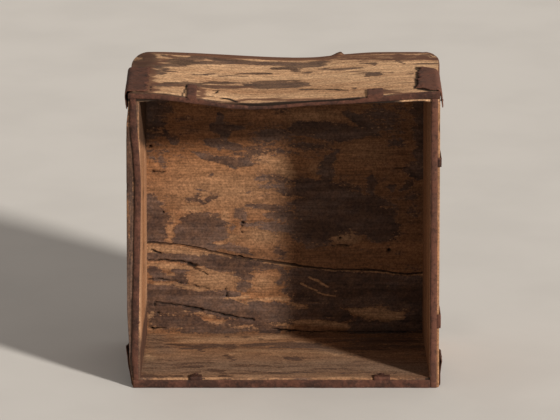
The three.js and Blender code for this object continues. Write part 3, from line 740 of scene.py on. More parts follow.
class Plank:
    """A plank as points in the square box, with the way out, the faces and what marks its surface."""

    def __init__(self, low, high, steps, along, seed, radius):
        self.low = np.array(low, float)
        self.high = np.array(high, float)
        self.along = along
        self.seed = seed
        places = [stations(self.low[axis], self.high[axis], steps[axis]) for axis in range(3)]
        self.flat, self.faces = skin(places)
        worn = 1 + 0.5 * layered_noise(self.stretched(30, 30), seed + 3)
        self.points, self.out = rounded(self.flat, self.low, self.high, radius * worn)
        self.fields = {name: np.zeros(len(self.flat)) for name in FIELDS}
        self.fields["patina"] = 0.34 + 0.34 * layered_noise(self.stretched(55, 14), seed + 17)

    def stretched(self, length, breadth):
        """The flat points in units of a pattern that is long with the grain and narrow across it."""
        units = np.full(3, float(breadth))
        units[self.along] = length
        return self.flat / units

    def facing(self, axis, sign, least=FACING):
        """Which places look along an axis, one way or the other."""
        return sign * self.out[:, axis] > least

    def sink(self, depth):
        """Moves the surface inwards."""
        self.points = self.points - self.out * depth[:, None]

    def raise_field(self, name, values, where=True):
        """Lifts a field to the given values where these are higher, on a part of the surface."""
        self.fields[name] = np.maximum(self.fields[name], np.where(where, values, 0))

    def set_field(self, name, where, values):
        """Gives a field new values on a part of the surface."""
        self.fields[name] = np.where(where, values, self.fields[name])

    def weather(self, wood):
        """Wears the surface inwards: waves, raised grain and chipped arrises."""
        waves = layered_noise(self.stretched(90, 28), self.seed) * 0.5 + 0.5
        grain = layered_noise(self.stretched(45, 2.4), self.seed + 7) * 0.5 + 0.5
        near = 1 - rise(arris_distance(self.flat, self.low, self.high), 0, 5)
        chips = rise(layered_noise(self.stretched(16, 9), self.seed + 13), 0.3, 0.7)
        self.sink((waves * wood.wave_depth + grain * wood.grain_depth + near * chips * wood.chip_depth) / MM)
        self.raise_field("soot", 0.3 * near * chips)

    def mark_face(self, face, across, up, marks):
        """Lays the marks on one face, and cuts the cracks and holes into it."""
        across = across[face]
        up = up[face]
        torn_across = across + TORN_ALONG * flat_noise(across, up, 18, 5, self.seed)
        torn_up = up + TORN_ACROSS * flat_noise(across, up, 16, 6, self.seed + 21)
        lying = {}
        for name in ("dark", "pale", "rust", "grey"):
            lying[name] = marked(torn_across, torn_up, marks.get(name, ()))
        base, spread = marks.get("wash", (0.14, 0.22))
        wash = base + spread * flat_noise(across, up, 34, 6, self.seed + 31, 4)
        patina = lying.pop("dark") + wash - PALE_TAKES * lying["pale"]
        soot = self.fields["soot"][face]
        depth = np.zeros(len(across))
        for number, crack in enumerate(marks.get("cracks", ())):
            in_crack = crack_depth(across, up, crack, self.seed + number)
            depth = np.maximum(depth, in_crack * marks.get("crack_depth", CRACK_DEPTH))
            soot = np.maximum(soot, rise(in_crack, 0.1, 0.8))
        for number, scratch in enumerate(marks.get("scratches", ())):
            in_scratch = crack_depth(across, up, scratch, self.seed + 90 + number, 0.4)
            lying["pale"] = np.maximum(lying["pale"], SCRATCH_PALE * in_scratch)
            patina = patina - SCRATCH_TAKES * in_scratch
        for x, z, radius in marks.get("holes", ()):
            in_hole = 1 - rise(np.hypot(across - x, up - z), 0.3 * radius, 1.3 * radius)
            depth = np.maximum(depth, in_hole * HOLE_DEPTH)
            soot = np.maximum(soot, in_hole)
        for name, values in (lying | {"patina": patina, "soot": soot}).items():
            self.fields[name][face] = values
        self.points[face] -= self.out[face] * depth[:, None]

    def made(self, name, material, nodes):
        """Turns the finished plank into an object that stands for the packed ones."""
        fields = {key: np.clip(value, 0, 2) for key, value in self.fields.items()}
        make_piece(name, settle(self.points), self.faces, material, fields, nodes)


def add_object(name, data):
    """A new object in the scene."""
    item = bpy.data.objects.new(name, data)
    bpy.context.scene.collection.objects.link(item)
    return item


def make_piece(name, points, faces, material, fields, nodes):
    """Makes a mesh object in place of some packed nodes, riding on the measure."""
    mesh = bpy.data.meshes.new(name)
    mesh.from_pydata((points * MM).tolist(), [], faces.tolist())
    mesh.polygons.foreach_set("use_smooth", np.ones(len(faces), bool))
    for key, values in fields.items():
        attribute = mesh.attributes.new(key, "FLOAT", "POINT")
        attribute.data.foreach_set("value", values.astype(np.float32))
    mesh.materials.append(material)
    put_in_place(add_object(name, mesh), nodes)


def put_in_place(piece, nodes):
    """Puts a finished piece on the measure in place of the packed nodes."""
    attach(piece, "root")
    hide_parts(*nodes)


class Nodes:
    """Adds nodes to a tree, and feeds their sockets with values or other sockets."""

    def __init__(self, tree):
        self.tree = tree

    def feed(self, socket, value):
        if isinstance(value, bpy.types.NodeSocket):
            self.tree.links.new(value, socket)
        else:
            socket.default_value = value

    def add(self, kind, inputs=None, **settings):
        node = self.tree.nodes.new(kind)
        for key, value in settings.items():
            setattr(node, key, value)
        for key, value in (inputs or {}).items():
            self.feed(node.inputs[key], value)
        return node

    def math(self, operation, first, second):
        return self.add("ShaderNodeMath", {0: first, 1: second}, operation=operation).outputs[0]

    def plus(self, first, second):
        return self.math("ADD", first, second)

    def times(self, first, second):
        return self.math("MULTIPLY", first, second)


class Weave(Nodes):
    """A material whose patterns run with the grain."""

    def __init__(self, name, grain=X):
        self.material = bpy.data.materials.new(name)
        self.material.use_nodes = True
        super().__init__(self.material.node_tree)
        self.shader = self.tree.nodes["Principled BSDF"]
        self.coords = self.add("ShaderNodeTexCoord").outputs["Object"]
        self.grain = grain

    def noise(self, vector, scale=1.0, detail=3.0, roughness=0.55, distortion=0.0):
        values = {"Vector": vector, "Scale": scale, "Detail": detail}
        values.update({"Roughness": roughness, "Distortion": distortion})
        return self.add("ShaderNodeTexNoise", values).outputs[0]

    def grained(self, along, across, detail=3.0, roughness=0.55, distortion=0.0):
        """Noise with so many spots a metre along the grain and across it."""
        scale = [across, across, across]
        scale[self.grain] = along
        place = self.add("ShaderNodeMapping", {"Vector": self.coords, "Scale": scale}).outputs[0]
        return self.noise(place, 1.0, detail, roughness, distortion)

    def ramp(self, value, low, high, to_low=0.0, to_high=1.0):
        values = {"Value": value, "From Min": low, "From Max": high, "To Min": to_low, "To Max": to_high}
        return self.add("ShaderNodeMapRange", values, interpolation_type="SMOOTHSTEP").outputs[0]

    def mix(self, first, second, share):
        node = self.add("ShaderNodeMix", data_type="RGBA")
        self.feed(node.inputs[0], share)
        self.feed(node.inputs[6], first)
        self.feed(node.inputs[7], second)
        return node.outputs[2]

    def over(self, below, colour, pattern, low, high, share=1.0):
        """One colour laid over another where a pattern passes from low to high."""
        return self.mix(below, colour, self.ramp(pattern, low, high, 0.0, share))

    def varied(self, colour, pattern, low, high, darkest, palest):
        """A colour made darker and paler by a pattern."""
        node = self.add("ShaderNodeVectorMath", {0: colour}, operation="SCALE")
        self.feed(node.inputs["Scale"], self.ramp(pattern, low, high, darkest, palest))
        return node.outputs[0]

    def field(self, name):
        return self.add("ShaderNodeAttribute", attribute_name=name).outputs["Fac"]

    def finish(self, colour, roughness, height, strength, distance):
        values = {"Height": height, "Strength": strength, "Distance": distance}
        bump = self.add("ShaderNodeBump", values).outputs[0]
        for label, value in (("Base Color", colour), ("Roughness", roughness), ("Normal", bump)):
            self.feed(self.shader.inputs[label], value)
        return self.material


class Tear(NamedTuple):
    """How the patina is torn: spots a metre along and across the grain, strength, crumbs and cover."""

    along: float
    across: float
    depth: float
    crumbs: float
    cover: float


TOP_TEAR = Tear(24.0, 190.0, 0.42, 0.14, 0.74)
FLOOR_TEAR = Tear(22.0, 150.0, 0.5, 0.3, 0.72)
SIDE_TEAR = Tear(14.0, 150.0, 0.3, 0.14, 0.85)
BOARD_TEAR = Tear(52.0, 170.0, 0.36, 0.3, 0.92)


def wood_material(name, wood, grain, bare, deep, tear):
    """Old wood with its grain, under what is left of a dark patina."""
    weave = Weave(name, grain)
    cloud = weave.grained(4.0, 16.0)
    bands = weave.grained(4.0, 75.0, 3.0, distortion=0.5)
    lines = weave.grained(11.0, 380.0, 5.0, 0.62)
    streaks = weave.grained(30.0, 520.0, 5.0, 0.65)
    mottle = weave.noise(weave.coords, 150.0, 5.0, 0.7)
    fibre = weave.grained(55.0, 1500.0, 3.0, 0.6)
    grit = weave.noise(weave.coords, 430.0, 4.0, 0.7)
    body = weave.over(bare, deep, bands, 0.36, 0.64)
    body = weave.over(body, wood.blush, cloud, 0.42, 0.7, 0.5)
    body = weave.over(body, deep, lines, 0.5, 0.7, 0.5)
    body = weave.over(body, bare, fibre, 0.5, 0.75, 0.4)
    body = weave.mix(body, wood.chalk, weave.times(weave.field("pale"), 0.3))
    body = weave.mix(body, wood.weathered, weave.times(weave.field("grey"), 0.85))
    body = weave.varied(body, streaks, 0.36, 0.64, 0.8, 1.2)
    body = weave.varied(body, mottle, 0.32, 0.68, 0.88, 1.12)

    # The patina, with a brown halo and pale flakes round it
    torn = weave.grained(tear.along, tear.across, 7.0, 0.7)
    crumbs = weave.grained(240.0, 420.0, 5.0, 0.7)
    worn = weave.plus(weave.field("patina"), weave.ramp(torn, 0.28, 0.72, -tear.depth, tear.depth))
    halo = weave.ramp(worn, 0.1, 0.6)
    body = weave.mix(body, wood.stain, weave.times(halo, 0.6))
    flakes = weave.times(halo, weave.ramp(crumbs, 0.44, 0.3))
    body = weave.mix(body, wood.chalk, weave.times(flakes, 0.45))
    patina = weave.plus(worn, weave.ramp(crumbs, 0.3, 0.7, -tear.crumbs, tear.crumbs))
    mask = weave.ramp(patina, 0.44, 0.6)
    patina_tone = weave.over(wood.patina, wood.patina_grey, weave.grained(14.0, 45.0, 4.0, 0.6), 0.38, 0.62)
    patina_tone = weave.varied(patina_tone, lines, 0.36, 0.64, 0.75, 1.3)
    thin = weave.grained(1.4 * tear.along, 0.5 * tear.across, 6.0, 0.7)
    cover_here = weave.ramp(thin, 0.36, 0.64, 0.72 * tear.cover, min(1.2 * tear.cover, 1.0))
    body = weave.mix(body, patina_tone, weave.times(mask, cover_here))
    body = weave.varied(body, grit, 0.34, 0.66, 0.7, 1.32)

    # Short checks and specks, rust from the iron, and soot and painted shade in what is deep, at the mouth
    # and by the iron
    body = weave.over(body, wood.soot, weave.grained(28.0, 900.0, 2.0), 0.66, 0.73, 0.5)
    body = weave.over(body, wood.soot, weave.noise(weave.coords, 480.0, 3.0, 0.6), 0.64, 0.74, 0.55)
    rusted = weave.plus(weave.field("rust"), weave.ramp(torn, 0.28, 0.72, -0.35, 0.35))
    body = weave.over(body, wood.rust_stain, rusted, 0.25, 0.9, 0.85)
    body = weave.mix(body, wood.soot, weave.field("soot"))

    height = lines
    for pattern, share in ((mask, 0.3), (fibre, 0.4), (grit, 0.3)):
        height = weave.plus(height, weave.times(pattern, share))
    weave.shader.inputs["Specular IOR Level"].default_value = 0.15
    return weave.finish(body, weave.ramp(mask, 0.0, 1.0, 0.9, 0.78), height, 0.6, 0.0004)


def iron_material(name, iron):
    """Hand-forged iron that has rusted dark, with paler scale and pits."""
    weave = Weave(name)
    patches = weave.noise(weave.coords, 45.0, 5.0, 0.62)
    flakes = weave.noise(weave.coords, 120.0, 6.0, 0.7)
    scale = weave.noise(weave.coords, 330.0, 5.0, 0.65)
    grit = weave.noise(weave.coords, 1500.0, 2.0, 0.6)
    body = weave.over(iron.dark, iron.rust, patches, 0.38, 0.62)
    body = weave.mix(body, iron.scale, weave.field("worn"))
    body = weave.over(body, iron.scale, flakes, 0.53, 0.67, 0.45)
    body = weave.over(body, iron.pit, flakes, 0.47, 0.36, 0.5)
    body = weave.over(body, iron.scale, scale, 0.54, 0.68, 0.32)
    body = weave.over(body, iron.pit, scale, 0.46, 0.34, 0.55)
    weave.shader.inputs["Metallic"].default_value = 0.15
    weave.shader.inputs["Specular IOR Level"].default_value = 0.2
    height = weave.plus(weave.plus(scale, weave.times(grit, 0.35)), weave.times(flakes, 0.8))
    return weave.finish(body, weave.ramp(patches, 0.3, 0.7, 0.68, 0.88), height, 0.8, 0.0008)


def colour(name, description, red, green, blue):
    """A colour that a user can change, from screen values of 0 to 255."""
    shade = tone(red, green, blue)
    return bpy.props.FloatVectorProperty(
        name=name, description=description, default=shade, size=4, min=0.0, max=1.0, subtype="COLOR"
    )


def number(name, description, value, **more):
    """A number that a user can change."""
    return bpy.props.FloatProperty(name=name, description=description, default=value, min=0.0, **more)


def size(name, description, millimetres):
    """A length that a user can change."""
    return number(name, description, millimetres * MM, subtype="DISTANCE", unit="LENGTH")


class MeasureWoodSettings(bpy.types.PropertyGroup):
    """How worn the planks are, and their colours."""

    wave_depth: size("Wave depth", "How far the worn faces wave", 0.35)
    grain_depth: size("Grain depth", "How deep the softer wood has worn between the grain lines", 0.14)
    chip_depth: size("Chip depth", "How deep the chips along the arrises are", 1.3)
    outer_bare: colour("Bare top wood", "The bare wood of the top wall", 190, 154, 119)
    outer_deep: colour("Deep top wood", "The grain lines of the top wall", 167, 130, 98)
    inner_bare: colour("Bare base wood", "The bare wood of the base board", 112, 78, 54)
    inner_deep: colour("Deep base wood", "The grain lines of the base board", 90, 61, 41)
    floor_bare: colour("Bare lower wood", "The bare wood of the lower wall", 142, 107, 79)
    floor_deep: colour("Deep lower wood", "The grain lines of the lower wall", 109, 79, 58)
    side_bare: colour("Bare side wood", "The bare wood of the side walls", 151, 113, 85)
    side_deep: colour("Deep side wood", "The grain lines of the side walls", 116, 81, 56)
    blush: colour("Blush", "The redder parts of the wood", 132, 88, 56)
    chalk: colour("Chalk", "The palest fibres", 180, 144, 110)
    weathered: colour("Weathered", "The wood that has weathered grey", 116, 93, 76)
    stain: colour("Stain", "The brown between bare wood and patina", 98, 70, 52)
    patina: colour("Patina", "The old dark surface", 57, 41, 34)
    patina_grey: colour("Greyed patina", "The old surface where it has greyed", 78, 61, 53)
    rust_stain: colour("Rust stain", "The wood that the iron has stained", 95, 63, 48)
    # Soot in cracks and holes, and the same dark colour laid as painted shade in the split, at the mouth and
    # beside the plates
    soot: colour("Soot", "What has settled in cracks and holes", 22, 14, 10)


class MeasureIronSettings(bpy.types.PropertyGroup):
    """How worn the iron is, and its colours."""

    edge_wear: size("Edge wear", "How far the edges of the iron have rusted back", 0.9)
    dark: colour("Dark iron", "The darkest rust", 54, 34, 27)
    rust: colour("Rust", "The redder rust", 80, 50, 39)
    scale: colour("Scale", "The paler scale", 108, 71, 57)
    pit: colour("Pits", "The pits", 30, 20, 17)


class MeasureNailSettings(bpy.types.PropertyGroup):
    """Sizes of the forged nails."""

    long_head: size("Long nail head", "Radius of the heads of the nails through the walls", 2.8)
    small_head: size("Small nail head", "Radius of the heads of the nails through the iron", 2.4)
    unevenness: number("Unevenness", "How far the heads differ in size", 0.12, max=0.5, subtype="FACTOR")


class MeasureStageSettings(bpy.types.PropertyGroup):
    """The floor and the light."""

    floor_tone: colour("Floor", "The floor", 198, 196, 193)
    key_tone: colour("Key", "The lamp that comes from the right", 255, 248, 238)
    key_strength: number("Key strength", "Strength of the lamp that comes from the right", 5.2)
    fill: number("Fill", "Strength of the even light all round", 0.39)


def split_height(x):
    """How high the split in the base board lies."""
    share = (x - INNER_LEFT) / (INNER_RIGHT - INNER_LEFT)
    return SPLIT_LEFT_HEIGHT - SPLIT_FALL * even_curve(SPLIT_CURVE, share)


def round_corner(plank, side, reach, drop, share=1.0):
    """Wears one rear corner of a plank round over a reach in x and y, and down by the drop at its tip."""
    x, y, _ = plank.flat.T
    corner_x = RIGHT_X if side > 0 else LEFT_X
    u = np.clip(side * (x - corner_x) / reach[X] + 1, 0, 1)
    v = np.clip((y - REAR_Y) / reach[Y] + 1, 0, 1)
    pulled = 1 - np.maximum(u, v) / np.maximum(np.hypot(u, v), 1e-9)
    plank.points[:, X] -= side * reach[X] * u * pulled * share
    plank.points[:, Y] -= reach[Y] * v * pulled * share
    plank.points[:, Z] -= drop * rise(u, 0, 1) * rise(v, 0, 1)
    return rise(u, 0.1, 1) * rise(v, 0.1, 1)


def shape_top_wall(plank):
    """Gives the top wall its worn corners, flare, thin edge and splinter. Returns soot for what broke."""
    x, y, z = plank.flat.T
    above = np.clip((z - INNER_TOP) / TOP_THICKNESS, 0, 1)
    worn_corner = round_corner(plank, -1, LEFT_CORNER, CORNER_DROP * above)
    worn_corner = worn_corner + round_corner(plank, 1, RIGHT_CORNER, CORNER_DROP * above)
    plank.points[:, X] += REAR_FLARE * rise(x, RIGHT_X - 40, RIGHT_X) * rise(y, -20, 40)
    thinned = between(x, *MOUTH_THINNED) * (1 - 0.65 * rise(x, 60, 120))
    thinned = thinned * (1 - rise(y, MOUTH_Y, MOUTH_Y + 50))
    plank.points[:, Z] += MOUTH_THINNING * thinned * (1 - above)
    splinter = between(x, *SPLINTER_ACROSS) * rise(y, REAR_Y - 8, REAR_Y - 1) * above
    plank.points[:, Z] += SPLINTER_HEIGHT * splinter
    under_plate = rise(np.abs(x - MIDDLE_X), WIDTH / 2 - 5, WIDTH / 2 - 1) * rise(z, HEIGHT - 5, HEIGHT - 1)
    plank.sink(PLATE_SEAT * under_plate * (1 - rise(y, 10, 16)))
    return 0.6 * splinter + 0.2 * worn_corner


def shadow_of_iron(x, y):
    """Painted shadow on the top wall: dark lines along the edges of the plates and at the left end of the
    strip.
    """
    back = y - MOUTH_Y
    inner_edge = RIGHT_X - np.interp(back, PLATE_EDGE_BACK, PLATE_EDGE_IN)
    inner_edge = inner_edge + 3 * flat_noise(y, x, 9, 40, 27)
    beside = (np.abs(x - inner_edge) < PLATE_EDGE_SHADOW) & (back > 15) & (back < PLATE_EDGE_BACK[1])
    front_edge = np.interp(x - RIGHT_X, np.negative(PLATE_FRONT_IN), PLATE_FRONT_BACK)
    under_front = (back < front_edge) & (back > front_edge - PLATE_FRONT_SHADOW)
    under_front = under_front & (x > RIGHT_X - PLATE_EDGE_IN[0])
    left_front = (x < LEFT_X + 22) & (back < 5)
    return np.maximum.reduce([0.85 * beside, 0.95 * under_front, 0.6 * left_front])


def top_wall(wood):
    """The plank on top, sagging into the mouth, with worn corners behind."""
    low = (LEFT_X, MOUTH_Y, INNER_TOP)
    plank = Plank(low, (RIGHT_X, REAR_Y, HEIGHT), LEVEL_STEPS, along=X, seed=11, radius=1.3)
    plank.weather(wood)
    broken = shape_top_wall(plank)
    x, y, z = plank.flat.T
    on_top = plank.facing(Z, 1)
    marks = {
        "dark": TOP_DARK,
        "pale": TOP_PALE,
        "rust": TOP_RUST,
        "cracks": TOP_CRACKS,
        "crack_depth": TOP_CRACK_DEPTH,
        "scratches": TOP_SCRATCHES,
        "wash": (0.1, 0.2),
    }
    plank.mark_face(on_top, x, y, marks)
    rear = rise(y, REAR_Y - 16, REAR_Y - 5) * (0.8 + 0.4 * flat_noise(x, y, 30, 30, 19))
    plank.raise_field("patina", 0.8 * rear, on_top)
    plank.raise_field("rust", 1.4 * rear, on_top)
    plank.raise_field("soot", broken)
    dark_corner = (1 - rise(x, *DARK_CORNER_ACROSS)) * rise(y, *DARK_CORNER_BACK)
    plank.raise_field("soot", 0.42 * dark_corner * (0.8 + 0.8 * flat_noise(x, y, 14, 16, 67)), on_top)
    # Painted shadow of the plates and of the strip's left end
    plank.raise_field("soot", shadow_of_iron(x, y), on_top)

    on_end = plank.facing(X, 1, 0.2)
    plank.set_field("patina", on_end, 0.9)
    plank.set_field("rust", on_end, 1.1)

    on_front = plank.facing(Y, -1)
    full, gone, tall = BARE_LEFT_END
    bare_ends = 0.6 * (1 - rise(x, LEFT_X + full, LEFT_X + gone)) * (z < INNER_TOP + tall)
    gone, full, tall = BARE_RIGHT_END
    bare_ends = bare_ends + rise(x, RIGHT_X - gone, RIGHT_X - full) * (z < INNER_TOP + tall)
    plank.set_field("patina", on_front, 1.1 - 0.9 * bare_ends)
    plank.set_field("pale", on_front, 0.4 * bare_ends)
    # Painted shade: the front face below the strip is darkened to stand for the shade inside the mouth,
    # except at the bare ends,
    # and a painted shadow line runs above the strip where it sags
    shadow_above_strip = between(x, *SHADOW_LINE_ACROSS) * (z < HEIGHT - 1.2)
    painted_shade_front = np.maximum(0.92 * (z < HEIGHT - 4) * (1 - bare_ends), 0.95 * shadow_above_strip)
    plank.raise_field("soot", painted_shade_front, on_front)
    plank.set_field("patina", plank.facing(Z, -1), 0.8)
    material = wood_material("outer_wood", wood, X, wood.outer_bare, wood.outer_deep, TOP_TEAR)
    plank.made("worn_wall_top", material, ["wall_top"])


def lower_wall(wood):
    """The plank that the measure stands on."""
    high = (INNER_RIGHT + LAP, REAR_Y, FLOOR_THICKNESS)
    plank = Plank((LEFT_X, MOUTH_Y, 0.0), high, LEVEL_STEPS, along=X, seed=23, radius=0.8)
    plank.weather(wood)
    x, y, _ = plank.flat.T
    on_top = plank.facing(Z, 1)
    marks = {
        "dark": FLOOR_DARK,
        "pale": FLOOR_PALE,
        "grey": FLOOR_GREY,
        "scratches": FLOOR_SCRATCHES,
        "wash": (0.12, 0.24),
    }
    plank.mark_face(on_top, x, y, marks)
    near_strip = 1 - rise(y, MOUTH_Y, MOUTH_Y + 10)
    in_corner = 1 - rise(x, INNER_LEFT, INNER_LEFT + 12)
    plank.set_field("rust", on_top, np.maximum(0.4 * near_strip, 0.5 * in_corner))
    on_front = plank.facing(Y, -1)
    plank.set_field("patina", on_front, 0.4 + 0.5 * flat_noise(x, y, 34, 90, 25))
    plank.set_field("pale", on_front, 0.3)
    plank.raise_field("soot", 0.9 * rise(x, INNER_RIGHT - 6, INNER_RIGHT - 3), on_front)
    material = wood_material("floor_wood", wood, X, wood.floor_bare, wood.floor_deep, FLOOR_TEAR)
    plank.made("worn_wall_bottom", material, ["wall_bottom"])


def mark_left_wall(plank):
    """Knots, darker ends and a bare inner edge for the left wall."""
    x, y, z = plank.flat.T
    inside = plank.facing(X, 1)
    knots = marked(z, y, LEFT_KNOTS)
    fall = LEFT_DARK_FALL * (y - MOUTH_Y) / (BOARD_Y - MOUTH_Y)
    above = rise(z + fall + 4 * flat_noise(y, z, 20, 8, 47), *LEFT_DARK_ABOVE)
    below = 1 - rise(z + 9 * flat_noise(y, z, 14, 9, 53), *LEFT_DARK_BELOW)
    plank.raise_field("soot", np.maximum(0.9 * knots, 0.8 * above), inside)
    plank.raise_field("soot", below * (0.45 + 0.4 * flat_noise(z, y, 14, 10, 59)), inside)
    plank.set_field("rust", inside, 0.8 * below)
    plank.fields["patina"] += np.where(inside, 0.8 * below, 0)
    plank.fields["pale"] *= np.where(inside, 1 - below, 1)
    bare_edge = (1 - below) * (1 - 0.6 * rise(z, 262, 275))
    front_patina = 0.74 + 0.3 * flat_noise(z, x, 50, 30, 37) + 0.2 * (1 - rise(z, 60, 130))
    front_patina = front_patina - 0.9 * bare_edge * rise(x, INNER_LEFT - 4, INNER_LEFT - 1)
    plank.set_field("patina", plank.facing(Y, -1, 0.5), front_patina)
    plank.set_field("pale", plank.facing(Y, -1, 0.2), bare_edge * rise(x, INNER_LEFT - 2.5, INNER_LEFT - 1))


def mark_right_wall(plank):
    """A bare outer edge for the right wall."""
    x = plank.flat[:, X]
    on_front = plank.facing(Y, -1, 0.5)
    plank.set_field("patina", on_front, 0.7 - 0.9 * rise(x, RIGHT_X - 4, RIGHT_X - 2.5))
    plank.set_field("pale", on_front, 0.5 * rise(x, RIGHT_X - 3.5, RIGHT_X - 2))


def side_walls(wood):
    """The two upright planks."""
    material = wood_material("side_wood", wood, Z, wood.side_bare, wood.side_deep, SIDE_TEAR)
    left_low = (LEFT_X, MOUTH_Y, FLOOR_THICKNESS - LAP)
    left_high = (INNER_LEFT, REAR_Y, INNER_TOP + LAP)
    right_low = (INNER_RIGHT, MOUTH_Y, 0.0)
    right_high = (RIGHT_X, REAR_Y, INNER_TOP + LAP)
    walls = (
        ("left", left_low, left_high, 31, 1, LEFT_CORNER, mark_left_wall),
        ("right", right_low, right_high, 43, -1, RIGHT_CORNER, mark_right_wall),
    )
    for place, low, high, seed, inward, corner, mark_wall in walls:
        plank = Plank(low, high, UPRIGHT_STEPS, along=Z, seed=seed, radius=0.9)
        plank.weather(wood)
        x, y, z = plank.flat.T
        round_corner(plank, -inward, corner, 0.0, rise(z, INNER_TOP - 40, INNER_TOP - 4))
        to_inside = (x - low[X] if inward > 0 else high[X] - x) / (high[X] - low[X])
        plank.points[:, X] += inward * WALL_TILT * to_inside * (y - MOUTH_Y) / (BOARD_Y - MOUTH_Y)
        inside = plank.facing(X, inward)
        plank.set_field("patina", inside, 0.06 + 0.2 * flat_noise(z, y, 34, 9, seed + 23))
        plank.set_field("pale", inside, 0.9 * (1 - rise(y, MOUTH_Y + 3, MOUTH_Y + 14)))
        mark_wall(plank)
        plank.made(f"worn_wall_{place}", material, [f"wall_{place}"])


def split_off(plank, tall, far_edge, side):
    """Moves a part of the base board to its side of the split. Returns how far from it each point lies."""
    for points in (plank.flat, plank.points):
        x, y, up = points.T
        torn = 0.7 * flat_noise(x, y, 9, 20, 5) + 0.55 * flat_noise(x, y, 3.2, 20, 8 + side)
        gap = even_curve(SPLIT_GAP_CURVE, (x - INNER_LEFT) / (INNER_RIGHT - INNER_LEFT))
        through = np.clip((y - BOARD_Y) / (REAR_Y - BOARD_Y), 0, 1)
        bow = SPLIT_BULGE * (1 - (2 * through - 1) ** 2)
        edge = split_height(x) + side * gap * SPLIT_GAP_SHARE + torn + bow
        share = up / tall if side > 0 else 1 - up / tall
        points[:, Z] = edge + (far_edge - edge) * share
    return np.abs(points[:, Z] - edge)


def base_board(wood):
    """The base board of the measure, split from side to side, with smaller cracks beside the split."""
    material = wood_material("inner_wood", wood, X, wood.inner_bare, wood.inner_deep, BOARD_TEAR)
    marks = {"cracks": BOARD_CRACKS, "scratches": BOARD_SCRATCHES, "holes": BOARD_HOLES}
    parts = (
        ("upper", 1, INNER_TOP + BOARD_SEAT, UPPER_DARK, UPPER_PALE),
        ("lower", -1, FLOOR_THICKNESS - BOARD_SEAT, LOWER_DARK, LOWER_PALE),
    )
    low = (INNER_LEFT - BOARD_SEAT, BOARD_Y, 0.0)
    for place, side, far_edge, dark, pale in parts:
        tall = abs(far_edge - SPLIT_LEFT_HEIGHT + SPLIT_FALL / 2)
        high = (INNER_RIGHT + BOARD_SEAT, REAR_Y, tall)
        plank = Plank(low, high, BOARD_STEPS, along=X, seed=57, radius=0.5)
        plank.weather(wood)
        from_split = split_off(plank, tall, far_edge, side)
        x, _, z = plank.flat.T
        in_front = plank.facing(Y, -1)
        plank.mark_face(in_front, x, z, marks | {"dark": dark, "pale": pale})
        # Darker along the joint with the lower wall, with more painted shade towards the shaded right
        joint_and_shade = (1 - rise(z + flat_noise(x, z, 20, 20, 71), 14, 19)) * (0.25 + 0.2 * rise(x, 40, 70))
        plank.raise_field("soot", joint_and_shade, in_front)
        # Painted shade on the faces of the split
        plank.raise_field("soot", 0.8 * (1 - rise(from_split, 0.2, 0.8)))
        if side < 0:
            bright = (1 - rise(from_split, 1.0, 3.5)) * (0.6 + 0.6 * flat_noise(x, z, 16, 30, 3))
            plank.raise_field("pale", 1.1 * bright, in_front)
            plank.fields["patina"] -= np.where(in_front, 0.8 * bright, 0)
        plank.made(f"worn_base_{place}", material, [f"base_board_{place}"])


BAR_LINES = np.array((0.0, 0.25, 0.6))
BAR_STEP = 2.0
BAR_RADIUS = 0.5


class Iron:
    """Pieces of iron gathered into one shape, with how far each has worn to a paler brown."""

    def __init__(self, settings):
        self.settings = settings
        self.points = []
        self.faces = []
        self.worn = []
        self.count = 0

    def add(self, points, faces, worn):
        self.points.append(points)
        self.faces.append(faces + self.count)
        self.worn.append(np.full(len(points), worn))
        self.count += len(points)

    def bar(self, low, high, seed, worn=0.0, shape=settle):
        """Adds a flat bar with soft rusted edges."""
        low = np.array(low, float)
        high = np.array(high, float)
        places = []
        for start, end in zip(low, high):
            ends = BAR_LINES[BAR_LINES < (end - start) / 2]
            count = max(2, round((end - start - 2 * ends[-1]) / BAR_STEP) + 1)
            middle = np.linspace(start + ends[-1], end - ends[-1], count)
            places.append(np.concatenate([start + ends[:-1], middle, end - ends[:-1][::-1]]))
        flat, faces = skin(places)
        points, out = rounded(flat, low, high, np.full(len(flat), BAR_RADIUS))
        wave = 0.5 + 0.3 * layered_noise(flat / 24, seed) + 0.3 * layered_noise(flat / 6, seed + 3)
        pitted = rise(layered_noise(flat / 3, seed + 5), 0.1, 0.7) * 0.15
        on_edge = 1 - rise(arris_distance(flat, low, high), 0, 1.6)
        depth = on_edge * np.clip(wave, 0, 1) * self.settings.edge_wear / MM + pitted
        self.add(shape(points - out * depth[:, None]), faces, worn)

    def made(self, name, material, nodes):
        """Turns what was gathered into one object."""
        points, faces, worn = map(np.concatenate, (self.points, self.faces, self.worn))
        make_piece(name, points, faces, material, {"worn": worn}, nodes)


class Lug(NamedTuple):
    """A lug of a strip: the middle of its width, its width, how far it reaches back, and its wear."""

    at: float
    width: float
    reach: float
    worn: float = 0.0

    def sides(self):
        """Where it starts and ends along its strip."""
        return self.at - self.width / 2, self.at + self.width / 2


TOP_LUGS = (Lug(-98.3, 11.0, 45.0, 0.3), Lug(95.6, 17.5, 23.5, 0.5))
BOTTOM_LUGS = (Lug(-94.6, 14.0, 12.5), Lug(103.4, 18.0, 12.5))
RIGHT_LUGS = (Lug(251.0, 11.0, 28.0), Lug(75.0, 16.0, 30.0, 1.2))

# The narrow end of a lower lug, which takes the nail
TONGUE_HALF_WIDTH = 3.0
TONGUE_LENGTH = 5.0
TONGUE_DROP = 0.3

# How far the top strip hangs in the sag, how far its upper edge drops there, and how far its end widens
STRIP_HANG = (1.6, (-88, -55), (-10, 30))
STRIP_NARROWING = (1.5, (-60, -15), (70, 88))
STRIP_WIDENING = (2.3, RIGHT_X - 60, RIGHT_X - 6)


def bowed(points):
    """The left strip wanders over the edge of its wall."""
    points = points.copy()
    points[:, X] += even_curve(LEFT_STRIP_CURVE, points[:, Z] / HEIGHT)
    return settle(points)


